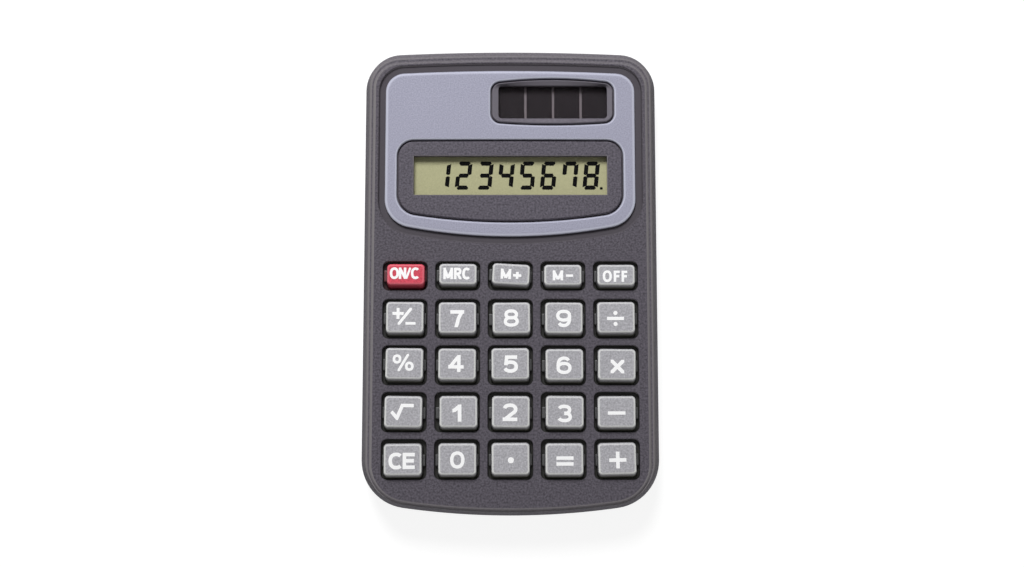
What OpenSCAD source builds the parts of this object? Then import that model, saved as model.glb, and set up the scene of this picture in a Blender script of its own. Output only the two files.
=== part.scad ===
// Pocket calculator with a liquid crystal display, a solar cell and a button cell.
// It lies on its back: +X to the right, +Y towards the display, +Z out of the keys.

/* [Case] */
// Width across the straight sides
case_w = 61.8; // [58:0.1:70]
// Length along the middle
case_l = 98.4; // [95:0.1:110]
// Thickness without the keys
case_h = 10; // [9.6:0.1:12]
// Height of the seam between the two shells
seam_z = 4.6; // [4.2:0.1:5]
// Thickness of the side walls
wall = 1.5; // [1.3:0.1:1.8]
// Thickness of the face around the keys
skin_t = 1.2; // [1:0.1:1.5]
// Thickness of the back
floor_t = 1.3; // [1:0.1:1.5]
// Rounding of the front edge
front_edge_r = 0.6; // [0.3:0.1:1.2]
// Inward lean of the front case's sides over their height
side_draft = 1.3; // [0.2:0.1:1.6]
// Rounding of the back edge
back_edge_r = 2; // [0.6:0.1:2.4]
// Radius of the arched top edge
top_edge_r = 500; // [250:10:900]
// Radius of the arched bottom edge
bottom_edge_r = 160; // [120:5:300]
// Radius of the top corners
top_corner_r = 7.5; // [6:0.5:9]
// Radius of the bottom corners
bottom_corner_r = 10; // [8:0.5:12]

/* [Keys] */
// From the case side to the outer key wells
side_margin = 4.35; // [4:0.05:6]
// From the lower end of the case to the lowest key wells
bottom_margin = 7.35; // [7:0.05:9]
// Web between the columns of wells
web_x = 1.56; // [1.4:0.02:2]
// Web between the rows of wells
web_y = 1.34; // [1.3:0.02:2]
// Web below the short top row
top_row_web = 1.72; // [1.4:0.02:2.4]
// Length of the top row's wells as a share of the others
top_row_share = 0.745; // [0.7:0.005:1]
// Gap between a key and its well
well_gap = 0.5; // [0.4:0.05:0.7]
// Height of a key above the face
key_proud = 1.4; // [0.8:0.1:2]
// Downward travel of a key
key_travel = 0.9; // [0.5:0.1:1]
// Inward lean of a key's sides over their height
key_draft = 0.3; // [0:0.05:0.4]
// Further lean of a key's lower side
key_lean = 0.3; // [0:0.05:0.5]
// Width of the bevel round a key's top
key_bevel = 0.5; // [0.2:0.05:0.8]

/* [Display panel] */
// From the case side to the panel recess
recess_side = 3.05; // [2.8:0.05:4.5]
// From the upper end of the case to the panel recess
recess_top = 3.45; // [3:0.05:5]
// Open groove round the panel
groove_w = 1.6; // [1:0.1:2]
// Thickness of the panel plate
panel_t = 0.8; // [0.6:0.1:1]
// Strip of face between the recess and the keys
face_strip = 3.85; // [3.2:0.05:6]
// Panel below the display bezel
band_bottom = 2.9; // [2:0.1:5]
// Panel between the two bezels
band_middle = 3.1; // [2:0.1:5]
// Panel above the solar bezel
band_top = 1.65; // [1:0.05:4]
// Panel beside the display bezel
bezel_side = 2.5; // [2:0.1:4]
// Gap between a bezel and the panel
bezel_gap = 0.35; // [0.2:0.05:0.5]

/* [Display] */
// Length of the display window
window_l = 8.56; // [7:0.02:10]
// Bezel beside the window
window_side = 3.35; // [3:0.05:5]
// Bezel above the window
window_top = 3.45; // [2.8:0.05:5]
// Bezel below the window
window_bottom = 5.65; // [5.4:0.05:8]
// Thickness of the bezel lip over the lens
lip_t = 0.9; // [0.6:0.1:1]
// Thickness of the clear lens
lens_t = 0.6; // [0.5:0.1:0.8]
// Thickness of each display glass
glass_t = 0.55; // [0.4:0.05:0.7]
// Thickness of the polariser and of the reflector
film_t = 0.2; // [0.1:0.05:0.3]
// Ledge of the front glass that carries the display contacts
ledge_l = 2.5; // [2.2:0.1:2.8]

/* [Solar cell] */
// Width of the cell window
solar_w = 23; // [20:0.5:25]
// Length of the cell window
solar_l = 7; // [6:0.1:9]
// Width of the sloped rim round the cell window
solar_rim = 1.55; // [1:0.05:2]
// From the right edge of the panel to the solar bezel
solar_side = 4.15; // [3:0.05:5]
// Number of cell strips
solar_strips = 4; // [2:1:6]
// Gap between the cell strips
strip_gap = 0.45; // [0.3:0.05:1]

/* [Electronics] */
// Thickness of the circuit board
board_t = 1; // [0.8:0.1:1.2]
// Thickness of the rubber keypad sheet
sheet_t = 0.7; // [0.5:0.1:0.9]
// Height of the keypad from the board to the keys
dome_h = 3.1; // [3:0.1:3.4]
// Diameter of the epoxy blob over the chip
chip_d = 9; // [7:0.5:12]
// Height of the epoxy blob
chip_h = 1.2; // [0.8:0.1:1.6]
// Height of the buffer capacitor
capacitor_h = 1.6; // [1:0.1:2]
// Diameter of the button cell
cell_d = 11.6; // [9.5:0.1:11.6]
// Height of the button cell
cell_h = 3.05; // [2.6:0.05:3.1]

/* [Hidden] */
// Steps along the round corners, the arched edges, the rounded rims and the small corners
corner_steps = 6;
edge_steps = 10;
rim_steps = 4;
key_steps = 4;
// Thickness of the slices that a hull joins
thin = 0.01;
// Radius that stands for a straight edge
straight_r = 4000;
// Allowance by which a cutter passes the face that it opens
past = 1;
// Clearance of a seated piece, and sideways room of a loose one
fit = 0.1;
room = 0.3;

// Grid of keys
columns = 5;
rows = 5;
pitch_x = (case_w - 2 * side_margin + web_x) / columns;
well_w = pitch_x - web_x;
panel_w = case_w - 2 * recess_side - 2 * groove_w;
window_bezel_l = window_top + window_l + window_bottom;
solar_bezel_w = solar_w + 2 * solar_rim;
solar_bezel_l = solar_l + 2 * solar_rim;
panel_l = band_bottom + window_bezel_l + band_middle + solar_bezel_l + band_top;
panel_top = case_l / 2 - recess_top - groove_w;
panel_bottom = panel_top - panel_l;
keys_top = panel_bottom - groove_w - face_strip;
keys_bottom = -case_l / 2 + bottom_margin;
well_l = (keys_top - keys_bottom - (rows - 2) * web_y - top_row_web) / (rows - 1 + top_row_share);
top_well_l = well_l * top_row_share;
pitch_y = well_l + web_y;
well_r = 1.2;

// Arches and corners of the panel, the display bezel and the solar bezel
panel_top_r = 450;
panel_bottom_r = 115;
panel_top_corner = 4;
panel_bottom_corner = 6;
bezel_bottom_r = 130;
bezel_top_corner = 3.5;
bezel_bottom_corner = 4.5;
solar_top_r = 95;
solar_bottom_r = 150;
solar_corner = 2.2;

// Heights
skin_z = case_h - skin_t;
flange_t = 0.7;
flange_lip = 0.5;
key_z = skin_z - flange_t;
board_top = key_z - dome_h;
board_z = board_top - board_t;
recess_z = case_h - panel_t;
deck_t = 1;
deck_z = recess_z - deck_t;
lens_z = case_h - lip_t - lens_t;
front_glass_z = lens_z - film_t - glass_t;
rear_glass_z = front_glass_z - glass_t;
reflector_z = rear_glass_z - film_t;

// Lap joint between the shells, and the height at which the front case's sides start to lean
lap_h = 1;
lap_t = wall / 2;
lean_z = seam_z + lap_h + fit;

// Display bezel, window and glass
bezel_w = panel_w - 2 * bezel_side;
bezel_bottom = panel_bottom + band_bottom;
bezel_top = bezel_bottom + window_bezel_l;
window_w = bezel_w - 2 * window_side;
window_y = bezel_bottom + window_bottom + window_l / 2;
glass_rim_x = 2.5;
glass_rim_y = 1.2;
glass_w = window_w + 2 * glass_rim_x;
glass_l = window_l + 2 * glass_rim_y;
glass_top = window_y + glass_l / 2;
glass_bottom = window_y - glass_l / 2;

// Solar bezel and cell
solar_x = panel_w / 2 - solar_side - solar_bezel_w / 2;
solar_y = bezel_top + band_middle + solar_bezel_l / 2;
solar_lip_t = 1.3;
solar_slope_h = 0.7;
solar_glass_t = 0.7;
solar_film_t = 0.15;
solar_backing_t = 0.2;
solar_glass_rim = 0.8;
solar_window_r = 0.8;
solar_land = 0.2;
solar_glass_w = solar_w + 2 * solar_glass_rim;
solar_glass_l = solar_l + 2 * solar_glass_rim;
solar_glass_z = case_h - solar_lip_t - solar_glass_t;
solar_film_z = solar_glass_z - solar_film_t;
solar_backing_z = solar_film_z - solar_backing_t;

// Screws and their posts
screw_r = 0.8;
post_r = 1.9;
boss_r = 2.6;
head_r = 1.6;
head_h = 0.9;
case_screw_seat = 1.7;
case_screw_l = 5.5;
case_screw_tip = case_screw_seat + case_screw_l;
small_post_r = 1.5;
small_head_r = 1.4;
small_head_h = 0.7;
small_screw_l = 2.8;
bottom_post_y = keys_bottom - flange_lip - room - post_r;
top_post_reach = top_corner_r - wall - post_r - room;
bottom_post_x = 1.5 * pitch_x;
top_post_angle = 60;
top_post_x = case_w / 2 - top_corner_r + top_post_reach * cos(top_post_angle);
top_post_y = corner_y(case_w, case_l / 2, top_edge_r, top_corner_r) + top_post_reach * sin(top_post_angle);
case_posts = [
    [-bottom_post_x, bottom_post_y],
    [bottom_post_x, bottom_post_y],
    [-top_post_x, top_post_y],
    [top_post_x, top_post_y],
];

// Circuit board
board_gap = 0.5;
board_past_glass = 2;
post_edge = 0.6;
support_r = 1.2;
board_inset = wall + board_gap;
board_end = glass_top + board_past_glass;
small_post_x = case_w / 2 - board_inset - small_post_r - post_edge;
middle_post_y = (keys_top + glass_bottom - ledge_l) / 2;
upper_post_y = board_end - small_post_r - post_edge;
board_posts = [
    [0, bottom_post_y],
    [-small_post_x, middle_post_y],
    [small_post_x, middle_post_y],
    [-small_post_x, upper_post_y],
    [small_post_x, upper_post_y],
];

// Keypad domes
dome_r = 2.9;
dome_top_r = 2;
plunger_r = 1.8;
plunger_h = 1;
cavity_r = 2.5;
cavity_top_r = 1.7;
pill_r = 1.5;
pill_t = 0.4;
pad_r = 2.2;
pad_t = 0.05;
cavity_h = pad_t + key_travel + room + pill_t;

// Button cell and its contacts
leaf_t = 0.25;
leaf_w = 4;
ring_t = 1;
ring_r = cell_d / 2 + room + ring_t;
cell_x = (-case_w / 2 + wall + solar_x - solar_glass_w / 2) / 2;
cell_y = (board_end + case_l / 2 - wall) / 2;
cell_z = floor_t + leaf_t;

// Solar leads
lead_r = 0.4;
lead_sides = 8;
lead_drop = solar_backing_z - board_top;

$fn = 48;

// Height of the centre of a corner circle that touches the side and the arched edge
function corner_y(w, edge_y, edge_r, corner_r) =
    edge_y - edge_r + sqrt(pow(edge_r - corner_r, 2) - pow(w / 2 - corner_r, 2));

// Half of the angle that an arched edge spans between its corners
function edge_angle(w, edge_r, corner_r) = asin((w / 2 - corner_r) / (edge_r - corner_r));

// Points along an arc that is cut into equal steps, from the first step asked for to the last
function arc(centre, r, from, to, steps, first, last) =
    [for (i = [first:last])
        let (a = from + (to - from) * i / steps)
        centre + r * [cos(a), sin(a)]];

// Outline with straight sides, arched ends and round corners, moved inwards by an inset.
// A shape is [width, top, bottom, top radius, bottom radius, top corner, bottom corner].
function outline(shape, inset) =
    let (
        w = shape[0] - 2 * inset,
        top = shape[1] - inset,
        bottom = shape[2] + inset,
        top_r = shape[3] - inset,
        bottom_r = shape[4] - inset,
        tc = max(shape[5] - inset, 0.2),
        bc = max(shape[6] - inset, 0.2),
        top_c = [w / 2 - tc, corner_y(w, top, top_r, tc)],
        bottom_c = [w / 2 - bc, -corner_y(w, -bottom, bottom_r, bc)],
        ta = edge_angle(w, top_r, tc),
        ba = edge_angle(w, bottom_r, bc),
        flip = [[-1, 0], [0, 1]]
    )
    concat(
        arc(bottom_c, bc, ba - 90, 0, corner_steps, 0, corner_steps),
        arc(top_c, tc, 0, 90 - ta, corner_steps, 0, corner_steps),
        arc([0, top - top_r], top_r, 90 - ta, 90 + ta, edge_steps, 1, edge_steps - 1),
        arc(flip * top_c, tc, 90 + ta, 180, corner_steps, 0, corner_steps),
        arc(flip * bottom_c, bc, 180, 270 - ba, corner_steps, 0, corner_steps),
        arc([0, bottom + bottom_r], bottom_r, 270 - ba, 270 + ba, edge_steps, 1, edge_steps - 1)
    );

// Rectangle with round corners about the origin
function rounded(w, l, r) =
    [for (q = [0:3]) each arc([(q == 0 || q == 3 ? 1 : -1) * (w / 2 - r), (q < 2 ? 1 : -1) * (l / 2 - r)],
        r, 90 * q, 90 * q + 90, key_steps, 0, key_steps)];

case_shape = [case_w, case_l / 2, -case_l / 2, top_edge_r, bottom_edge_r, top_corner_r, bottom_corner_r];
panel_shape = [
    panel_w, panel_top, panel_bottom,
    panel_top_r, panel_bottom_r, panel_top_corner, panel_bottom_corner,
];
bezel_shape = [
    bezel_w, bezel_top, bezel_bottom,
    straight_r, bezel_bottom_r, bezel_top_corner, bezel_bottom_corner,
];
solar_shape = [
    solar_bezel_w, solar_y + solar_bezel_l / 2, solar_y - solar_bezel_l / 2,
    solar_top_r, solar_bottom_r, solar_corner, solar_corner,
];

function row_y(row) =
    row == 0 ? keys_top - top_well_l / 2 : keys_bottom + well_l / 2 + (rows - 1 - row) * pitch_y;
function row_l(row) = row == 0 ? top_well_l : well_l;
function column_x(column) = (column - (columns - 1) / 2) * pitch_x;

// Layer of an outline between two heights
module layer(points, from, to) {
    translate([0, 0, from])
        linear_extrude(to - from)
            polygon(points);
}

// Thin slice of an outline that lies just above a height, or just below it where up is -1
module slice(points, z, up) {
    layer(points, min(z, z + up * thin), max(z, z + up * thin));
}

// Solid case outline that is upright from one height to another and then leans in by a draft.
// It has one rounded rim, which ends on the flat face at height face.
module rounded_block(from, to, face, edge_r, draft) {
    up = face > from ? 1 : -1;
    hull() {
        layer(outline(case_shape, 0), min(from, to), max(from, to));
        for (i = [0:rim_steps]) {
            a = 90 * i / rim_steps;
            inset = draft + edge_r * (1 - cos(a));
            slice(outline(case_shape, inset), face - up * edge_r * (1 - sin(a)), -up);
        }
    }
}

// Room inside the front case, with sides that lean like the outside
module front_room(top) {
    lean = side_draft * (top - lean_z) / (case_h - front_edge_r - lean_z);
    hull() {
        layer(outline(case_shape, wall), seam_z - past, lean_z);
        slice(outline(case_shape, wall + lean), top, -1);
    }
}

module at_each_key() {
    for (row = [0:rows - 1], column = [0:columns - 1])
        translate([column_x(column), row_y(row), 0])
            children();
}

module at_each(places) {
    for (place = places)
        translate([place[0], place[1], 0])
            children();
}

module front_case() {
    color([0.37, 0.36, 0.4])
        difference() {
            union() {
                difference() {
                    rounded_block(seam_z, lean_z, case_h, front_edge_r, side_draft);
                    front_room(deck_z);
                    layer(outline(case_shape, wall - lap_t - fit), seam_z - past, lean_z);
                    intersection() {
                        front_room(skin_z);
                        translate([-case_w / 2, -case_l / 2, 0])
                            cube([case_w, case_l / 2 + keys_top + flange_lip + room, case_h]);
                    }
                }
                at_each(case_posts)
                    translate([0, 0, seam_z])
                        cylinder(r = post_r, h = skin_z + fit - seam_z);
                at_each(board_posts)
                    translate([0, 0, board_top])
                        cylinder(r = small_post_r, h = skin_z + fit - board_top);
            }
            panel_recess();
            for (row = [0:rows - 1], column = [0:columns - 1])
                translate([column_x(column), row_y(row), 0])
                    layer(rounded(well_w, row_l(row), well_r), skin_z - past, case_h + past);
            display_opening();
            solar_opening();
            at_each(case_posts)
                translate([0, 0, seam_z - past])
                    cylinder(r = screw_r + fit / 2, h = past + case_screw_tip + fit - seam_z);
            at_each(board_posts)
                translate([0, 0, board_top - past])
                    cylinder(r = screw_r + fit / 2, h = past + small_screw_l - board_t + 2 * fit);
        }
}

// Recess for the panel, around the two raised bezels
module panel_recess() {
    difference() {
        layer(outline(panel_shape, -groove_w), recess_z, case_h + past);
        layer(outline(bezel_shape, bezel_gap), recess_z - past, case_h);
        translate([solar_x, 0, 0])
            layer(outline(solar_shape, bezel_gap), recess_z - past, case_h);
    }
}

// Display window with the seat for the lens and the glass behind it
module display_opening() {
    translate([-window_w / 2, window_y - window_l / 2, lens_z])
        cube([window_w, window_l, case_h - lens_z + past]);
    translate([-glass_w / 2 - fit, glass_bottom - ledge_l - fit, deck_z - past])
        cube([glass_w + 2 * fit, glass_l + ledge_l + 2 * fit, lens_z + lens_t - deck_z + past]);
}

// Solar window with its sloped rim and the seat for the cell behind it
module solar_opening() {
    seat_w = solar_glass_w + 2 * fit;
    seat_l = solar_glass_l + 2 * fit;
    translate([solar_x, 0, 0])
        hull() {
            slice(outline(solar_shape, bezel_gap + solar_land), case_h, 1);
            translate([0, solar_y, 0])
                slice(rounded(solar_w, solar_l, solar_window_r), case_h - solar_slope_h, 1);
        }
    translate([solar_x, solar_y, 0])
        layer(rounded(solar_w, solar_l, solar_window_r), solar_glass_z, case_h);
    translate([solar_x - seat_w / 2, solar_y - seat_l / 2, deck_z - past])
        cube([seat_w, seat_l, solar_glass_z + solar_glass_t - deck_z + past]);
}

module rear_cover() {
    color([0.33, 0.32, 0.36])
        difference() {
            union() {
                difference() {
                    union() {
                        rounded_block(seam_z, back_edge_r, 0, back_edge_r, 0);
                        layer(outline(case_shape, wall - lap_t), seam_z - fit, seam_z + lap_h);
                    }
                    difference() {
                        layer(outline(case_shape, wall), floor_t, seam_z + lap_h + past);
                        at_each(case_posts)
                            cylinder(r = boss_r, h = seam_z);
                    }
                }
                translate([cell_x, cell_y, floor_t - fit])
                    cylinder(r = ring_r, h = cell_h + fit);
                for (side = [-1, 1], row = [1:rows - 2])
                    translate([side * pitch_x * 1.5, row_y(row) - pitch_y / 2, floor_t - fit])
                        cylinder(r = support_r, h = board_z - floor_t + fit);
            }
            at_each(case_posts) {
                translate([0, 0, -past])
                    cylinder(r = screw_r + room, h = seam_z + 2 * past);
                translate([0, 0, -past])
                    cylinder(r = head_r + room, h = case_screw_seat + past);
            }
            translate([cell_x, cell_y, floor_t])
                cylinder(r = cell_d / 2 + room, h = cell_h + past);
            translate([cell_x - leaf_w / 2 - room, cell_y - ring_r - past, floor_t])
                cube([leaf_w + 2 * room, ring_r, cell_h + past]);
        }
}

module display_panel() {
    color([0.62, 0.66, 0.74])
        difference() {
            layer(outline(panel_shape, 0), recess_z, case_h);
            layer(outline(bezel_shape, 0), recess_z - past, case_h + past);
            translate([solar_x, 0, 0])
                layer(outline(solar_shape, 0), recess_z - past, case_h + past);
        }
}

// Flat piece of the display, as wide as the glass and centred on the window
module display_layer(l, below, z, t) {
    translate([-glass_w / 2, window_y - l / 2 - below, z])
        cube([glass_w, l + below, t]);
}

module display_lens() {
    color([0.85, 0.9, 0.92, 0.4])
        display_layer(glass_l, ledge_l, lens_z, lens_t);
}

module display_polariser() {
    color([0.6, 0.64, 0.56])
        display_layer(glass_l, 0, lens_z - film_t, film_t);
}

module display_front_glass() {
    color([0.75, 0.8, 0.76, 0.6])
        display_layer(glass_l, ledge_l, front_glass_z, glass_t);
}

module display_rear_glass() {
    color([0.75, 0.8, 0.76, 0.6])
        display_layer(glass_l, 0, rear_glass_z, glass_t);
}

module display_reflector() {
    color([0.66, 0.69, 0.56])
        display_layer(glass_l, 0, reflector_z, film_t);
}

module display_connector() {
    color([0.2, 0.2, 0.22])
        translate([-glass_w / 2, glass_bottom - ledge_l, board_top])
            cube([glass_w, ledge_l - room, front_glass_z - board_top]);
}

module display_foam() {
    foam_l = 2;
    color([0.15, 0.15, 0.15])
        translate([-glass_w / 2 + foam_l, glass_top - foam_l, board_top])
            cube([glass_w - 2 * foam_l, foam_l, reflector_z - board_top]);
}

module solar_glass() {
    color([0.3, 0.26, 0.28, 0.7])
        translate([solar_x - solar_glass_w / 2, solar_y - solar_glass_l / 2, solar_glass_z])
            cube([solar_glass_w, solar_glass_l, solar_glass_t]);
}

module solar_strips_film() {
    strip_w = (solar_w - (solar_strips - 1) * strip_gap) / solar_strips;
    color([0.12, 0.08, 0.09])
        translate([solar_x - solar_w / 2, solar_y - solar_l / 2, solar_film_z])
            for (i = [0:solar_strips - 1])
                translate([i * (strip_w + strip_gap), 0, 0])
                    cube([strip_w, solar_l, solar_film_t]);
}

module solar_backing() {
    color([0.6, 0.6, 0.6])
        translate([solar_x - solar_glass_w / 2, solar_y - solar_glass_l / 2, solar_backing_z])
            cube([solar_glass_w, solar_glass_l, solar_backing_t]);
}

// Round lead along a route of points, with its first and last stretch upright
module lead(route) {
    count = len(route);
    along = [for (i = [0:count - 1])
        i == 0 || i == count - 1 ? [0, -1] : [for (k = [1, 2]) route[i + 1][k] - route[i - 1][k]]];
    rings = [for (i = [0:count - 1], s = [0:lead_sides - 1])
        let (
            a = 360 * s / lead_sides,
            d = along[i] / norm(along[i])
        )
        route[i] + lead_r * [cos(a), -d[1] * sin(a), d[0] * sin(a)]];
    polyhedron(
        points = rings,
        faces = concat(
            [[for (s = [0:lead_sides - 1]) s]],
            [[for (s = [lead_sides - 1:-1:0]) (count - 1) * lead_sides + s]],
            [for (i = [0:count - 2], s = [0:lead_sides - 1])
                let (
                    a = i * lead_sides + s,
                    b = i * lead_sides + (s + 1) % lead_sides
                )
                [a, a + lead_sides, b + lead_sides]],
            [for (i = [0:count - 2], s = [0:lead_sides - 1])
                let (
                    a = i * lead_sides + s,
                    b = i * lead_sides + (s + 1) % lead_sides
                )
                [a, b + lead_sides, b]]
        )
    );
}

// Route of a solar lead at one place across the case: from the back of the cell down to the board
function solar_route(x) =
    let (
        start = solar_y - solar_glass_l / 2 + 2,
        finish = board_end - 1.2
    )
    [
        [x, start, solar_backing_z],
        [x, start, solar_backing_z - lead_drop * 0.2],
        [x, start - 0.6, solar_backing_z - lead_drop * 0.4],
        [x, (start + finish) / 2, solar_backing_z - lead_drop * 0.5],
        [x, finish + 0.6, board_top + lead_drop * 0.4],
        [x, finish, board_top + lead_drop * 0.2],
        [x, finish, board_top],
    ];

module solar_lead_positive() {
    color([0.75, 0.12, 0.1])
        lead(solar_route(solar_x + solar_w * 0.35));
}

module solar_lead_negative() {
    color([0.08, 0.08, 0.08])
        lead(solar_route(solar_x + solar_w * 0.2));
}

module circuit_board() {
    color([0.5, 0.36, 0.16])
        difference() {
            intersection() {
                layer(outline(case_shape, board_inset), board_z, board_top);
                translate([-case_w / 2, -case_l / 2, 0])
                    cube([case_w, case_l / 2 + board_end, case_h]);
            }
            at_each(case_posts)
                translate([0, 0, board_z - past])
                    cylinder(r = boss_r + room, h = board_t + 2 * past);
            at_each(board_posts)
                translate([0, 0, board_z - past])
                    cylinder(r = screw_r + fit, h = board_t + 2 * past);
        }
}

module chip_blob() {
    ball_r = (pow(chip_d / 2, 2) + pow(chip_h, 2)) / (2 * chip_h);
    color([0.07, 0.07, 0.08])
        translate([0, keys_top, board_z])
            difference() {
                translate([0, 0, ball_r - chip_h])
                    sphere(r = ball_r, $fn = 128);
                translate([-ball_r, -ball_r, 0])
                    cube(2 * ball_r);
            }
}

module buffer_capacitor() {
    capacitor_w = 3.5;
    capacitor_l = 2.8;
    color([0.8, 0.6, 0.2])
        translate([pitch_x, keys_top, board_z - capacitor_h])
            cube([capacitor_w, capacitor_l, capacitor_h]);
}

module timing_resistor() {
    resistor_w = 2;
    resistor_l = 1.2;
    resistor_h = 0.6;
    color([0.1, 0.1, 0.1])
        translate([-pitch_x, keys_top, board_z - resistor_h])
            cube([resistor_w, resistor_l, resistor_h]);
}

module contact_pads() {
    color([0.1, 0.1, 0.1])
        at_each_key()
            translate([0, 0, board_top])
                cylinder(r = pad_r, h = pad_t);
}

module keypad_sheet() {
    sheet_w = case_w - 2 * side_margin + 2 * flange_lip;
    color([0.72, 0.74, 0.72])
        difference() {
            union() {
                translate([-sheet_w / 2, keys_bottom, board_top])
                    cube([sheet_w, keys_top - keys_bottom, sheet_t]);
                at_each_key() {
                    translate([0, 0, board_top + sheet_t - fit])
                        cylinder(r1 = dome_r, r2 = dome_top_r, h = dome_h - plunger_h - sheet_t + 2 * fit);
                    translate([0, 0, board_top + dome_h - plunger_h])
                        cylinder(r = plunger_r, h = plunger_h);
                }
            }
            at_each_key()
                translate([0, 0, board_top - fit])
                    cylinder(r1 = cavity_r, r2 = cavity_top_r, h = cavity_h + fit);
        }
}

module contact_pills() {
    color([0.08, 0.08, 0.08])
        at_each_key()
            translate([0, 0, board_top + cavity_h - pill_t])
                cylinder(r = pill_r, h = pill_t);
}

module button_cell() {
    cap_h = 0.4;
    cap_r = cell_d * 0.4;
    color([0.75, 0.75, 0.76])
        translate([cell_x, cell_y, cell_z]) {
            cylinder(r = cap_r, h = cap_h + fit);
            translate([0, 0, cap_h])
                cylinder(r = cell_d / 2, h = cell_h - cap_h);
        }
}

// Strip that lies on top of the cell and bends up onto the board
module cell_contact_positive() {
    from = cell_y + cell_d * 0.35;
    bend = board_end + 1;
    to = board_end - 1.6;
    low = cell_z + cell_h;
    color([0.8, 0.76, 0.6])
        translate([cell_x + leaf_w / 2, 0, 0])
            rotate([90, 0, -90])
                linear_extrude(leaf_w)
                    polygon([
                        [-from, low],
                        [-bend - 1, low],
                        [-bend, board_top],
                        [-to, board_top],
                        [-to, board_top + leaf_t],
                        [-bend - leaf_t, board_top + leaf_t],
                        [-bend - leaf_t - 1, low + leaf_t],
                        [-from, low + leaf_t],
                    ]);
}

// Strip that lies under the cell and rises to the underside of the board
module cell_contact_negative() {
    from = cell_y + cell_d * 0.35;
    to = board_end - 1.6;
    color([0.8, 0.76, 0.6])
        translate([cell_x + leaf_w / 2, 0, 0])
            rotate([90, 0, -90])
                linear_extrude(leaf_w)
                    polygon([
                        [-from, floor_t],
                        [-to, floor_t],
                        [-to, board_z],
                        [-to - leaf_t, board_z],
                        [-to - leaf_t, floor_t + leaf_t],
                        [-from, floor_t + leaf_t],
                    ]);
}

// Pan-head screw pointing up, with its head below the height that it seats on
module screw(seat, l, screw_head_r, screw_head_h) {
    translate([0, 0, seat - fit])
        cylinder(r = screw_r, h = l + fit);
    difference() {
        translate([0, 0, seat - screw_head_h])
            cylinder(r = screw_head_r, h = screw_head_h);
        for (turn = [0, 90])
            rotate([0, 0, turn])
                translate([-screw_head_r * 0.65, -0.2, seat - screw_head_h - past])
                    cube([screw_head_r * 1.3, 0.4, past + screw_head_h * 0.5]);
    }
}

module case_screws() {
    color([0.6, 0.6, 0.6])
        at_each(case_posts)
            screw(case_screw_seat, case_screw_l, head_r, head_h);
}

module board_screws() {
    color([0.6, 0.6, 0.6])
        at_each(board_posts)
            screw(board_z, small_screw_l, small_head_r, small_head_h);
}

// Key cap with a retaining flange below the face and a guide nub on each side
module key(column, row, shade = [0.6, 0.6, 0.62]) {
    base_w = well_w - 2 * well_gap;
    base_l = row_l(row) - 2 * well_gap;
    shoulder_w = base_w - 2 * key_draft;
    shoulder_l = base_l - 2 * key_draft - key_lean;
    top_w = shoulder_w - 2 * key_bevel;
    top_l = shoulder_l - 2 * key_bevel;
    key_top = case_h + key_proud;
    bevel_h = key_bevel / 2;
    base_corner = 1;
    top_corner = 0.4;
    nub_w = 2.2;
    nub_out = 0.3;
    nub_below_face = 0.3;
    color(shade)
        translate([column_x(column), row_y(row), 0]) {
            layer(rounded(well_w + 2 * flange_lip, row_l(row) + 2 * flange_lip, well_r), key_z, skin_z);
            hull() {
                slice(rounded(base_w, base_l, base_corner), key_z, 1);
                translate([0, key_lean / 2, 0]) {
                    slice(rounded(shoulder_w, shoulder_l, base_corner - key_draft), key_top - bevel_h, -1);
                    slice(rounded(top_w, top_l, top_corner), key_top, -1);
                }
            }
            translate([-base_w / 2 - nub_out, -nub_w / 2, key_z])
                cube([base_w + 2 * nub_out, nub_w, case_h - nub_below_face - key_z]);
        }
}

module key_on_clear() { key(0, 0, [0.85, 0.35, 0.3]); }
module key_memory_recall() { key(1, 0); }
module key_memory_plus() { key(2, 0); }
module key_memory_minus() { key(3, 0); }
module key_off() { key(4, 0); }
module key_sign_change() { key(0, 1); }
module key_7() { key(1, 1); }
module key_8() { key(2, 1); }
module key_9() { key(3, 1); }
module key_divide() { key(4, 1); }
module key_percent() { key(0, 2); }
module key_4() { key(1, 2); }
module key_5() { key(2, 2); }
module key_6() { key(3, 2); }
module key_multiply() { key(4, 2); }
module key_square_root() { key(0, 3); }
module key_1() { key(1, 3); }
module key_2() { key(2, 3); }
module key_3() { key(3, 3); }
module key_subtract() { key(4, 3); }
module key_clear_entry() { key(0, 4); }
module key_0() { key(1, 4); }
module key_decimal_point() { key(2, 4); }
module key_equals() { key(3, 4); }
module key_add() { key(4, 4); }

front_case();
rear_cover();
display_panel();
display_lens();
display_polariser();
display_front_glass();
display_rear_glass();
display_reflector();
display_connector();
display_foam();
solar_glass();
solar_strips_film();
solar_backing();
solar_lead_positive();
solar_lead_negative();
circuit_board();
chip_blob();
buffer_capacitor();
timing_resistor();
contact_pads();
keypad_sheet();
contact_pills();
button_cell();
cell_contact_positive();
cell_contact_negative();
case_screws();
board_screws();
key_on_clear();
key_memory_recall();
key_memory_plus();
key_memory_minus();
key_off();
key_sign_change();
key_7();
key_8();
key_9();
key_divide();
key_percent();
key_4();
key_5();
key_6();
key_multiply();
key_square_root();
key_1();
key_2();
key_3();
key_subtract();
key_clear_entry();
key_0();
key_decimal_point();
key_equals();
key_add();
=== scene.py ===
"""Electronic pocket calculator: the visual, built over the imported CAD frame.
Lengths are millimetres, apart from those of the floor, the lamps and the camera, which are metres.
The far end is the display's, at +Y, and the near end is the keys', at -Y."""
import random
from collections import namedtuple
from math import asin, cos, degrees, hypot, pi, radians, sin, sqrt

import bmesh
import bpy
from mathutils import Matrix, Vector
from mathutils.geometry import delaunay_2d_cdt


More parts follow.
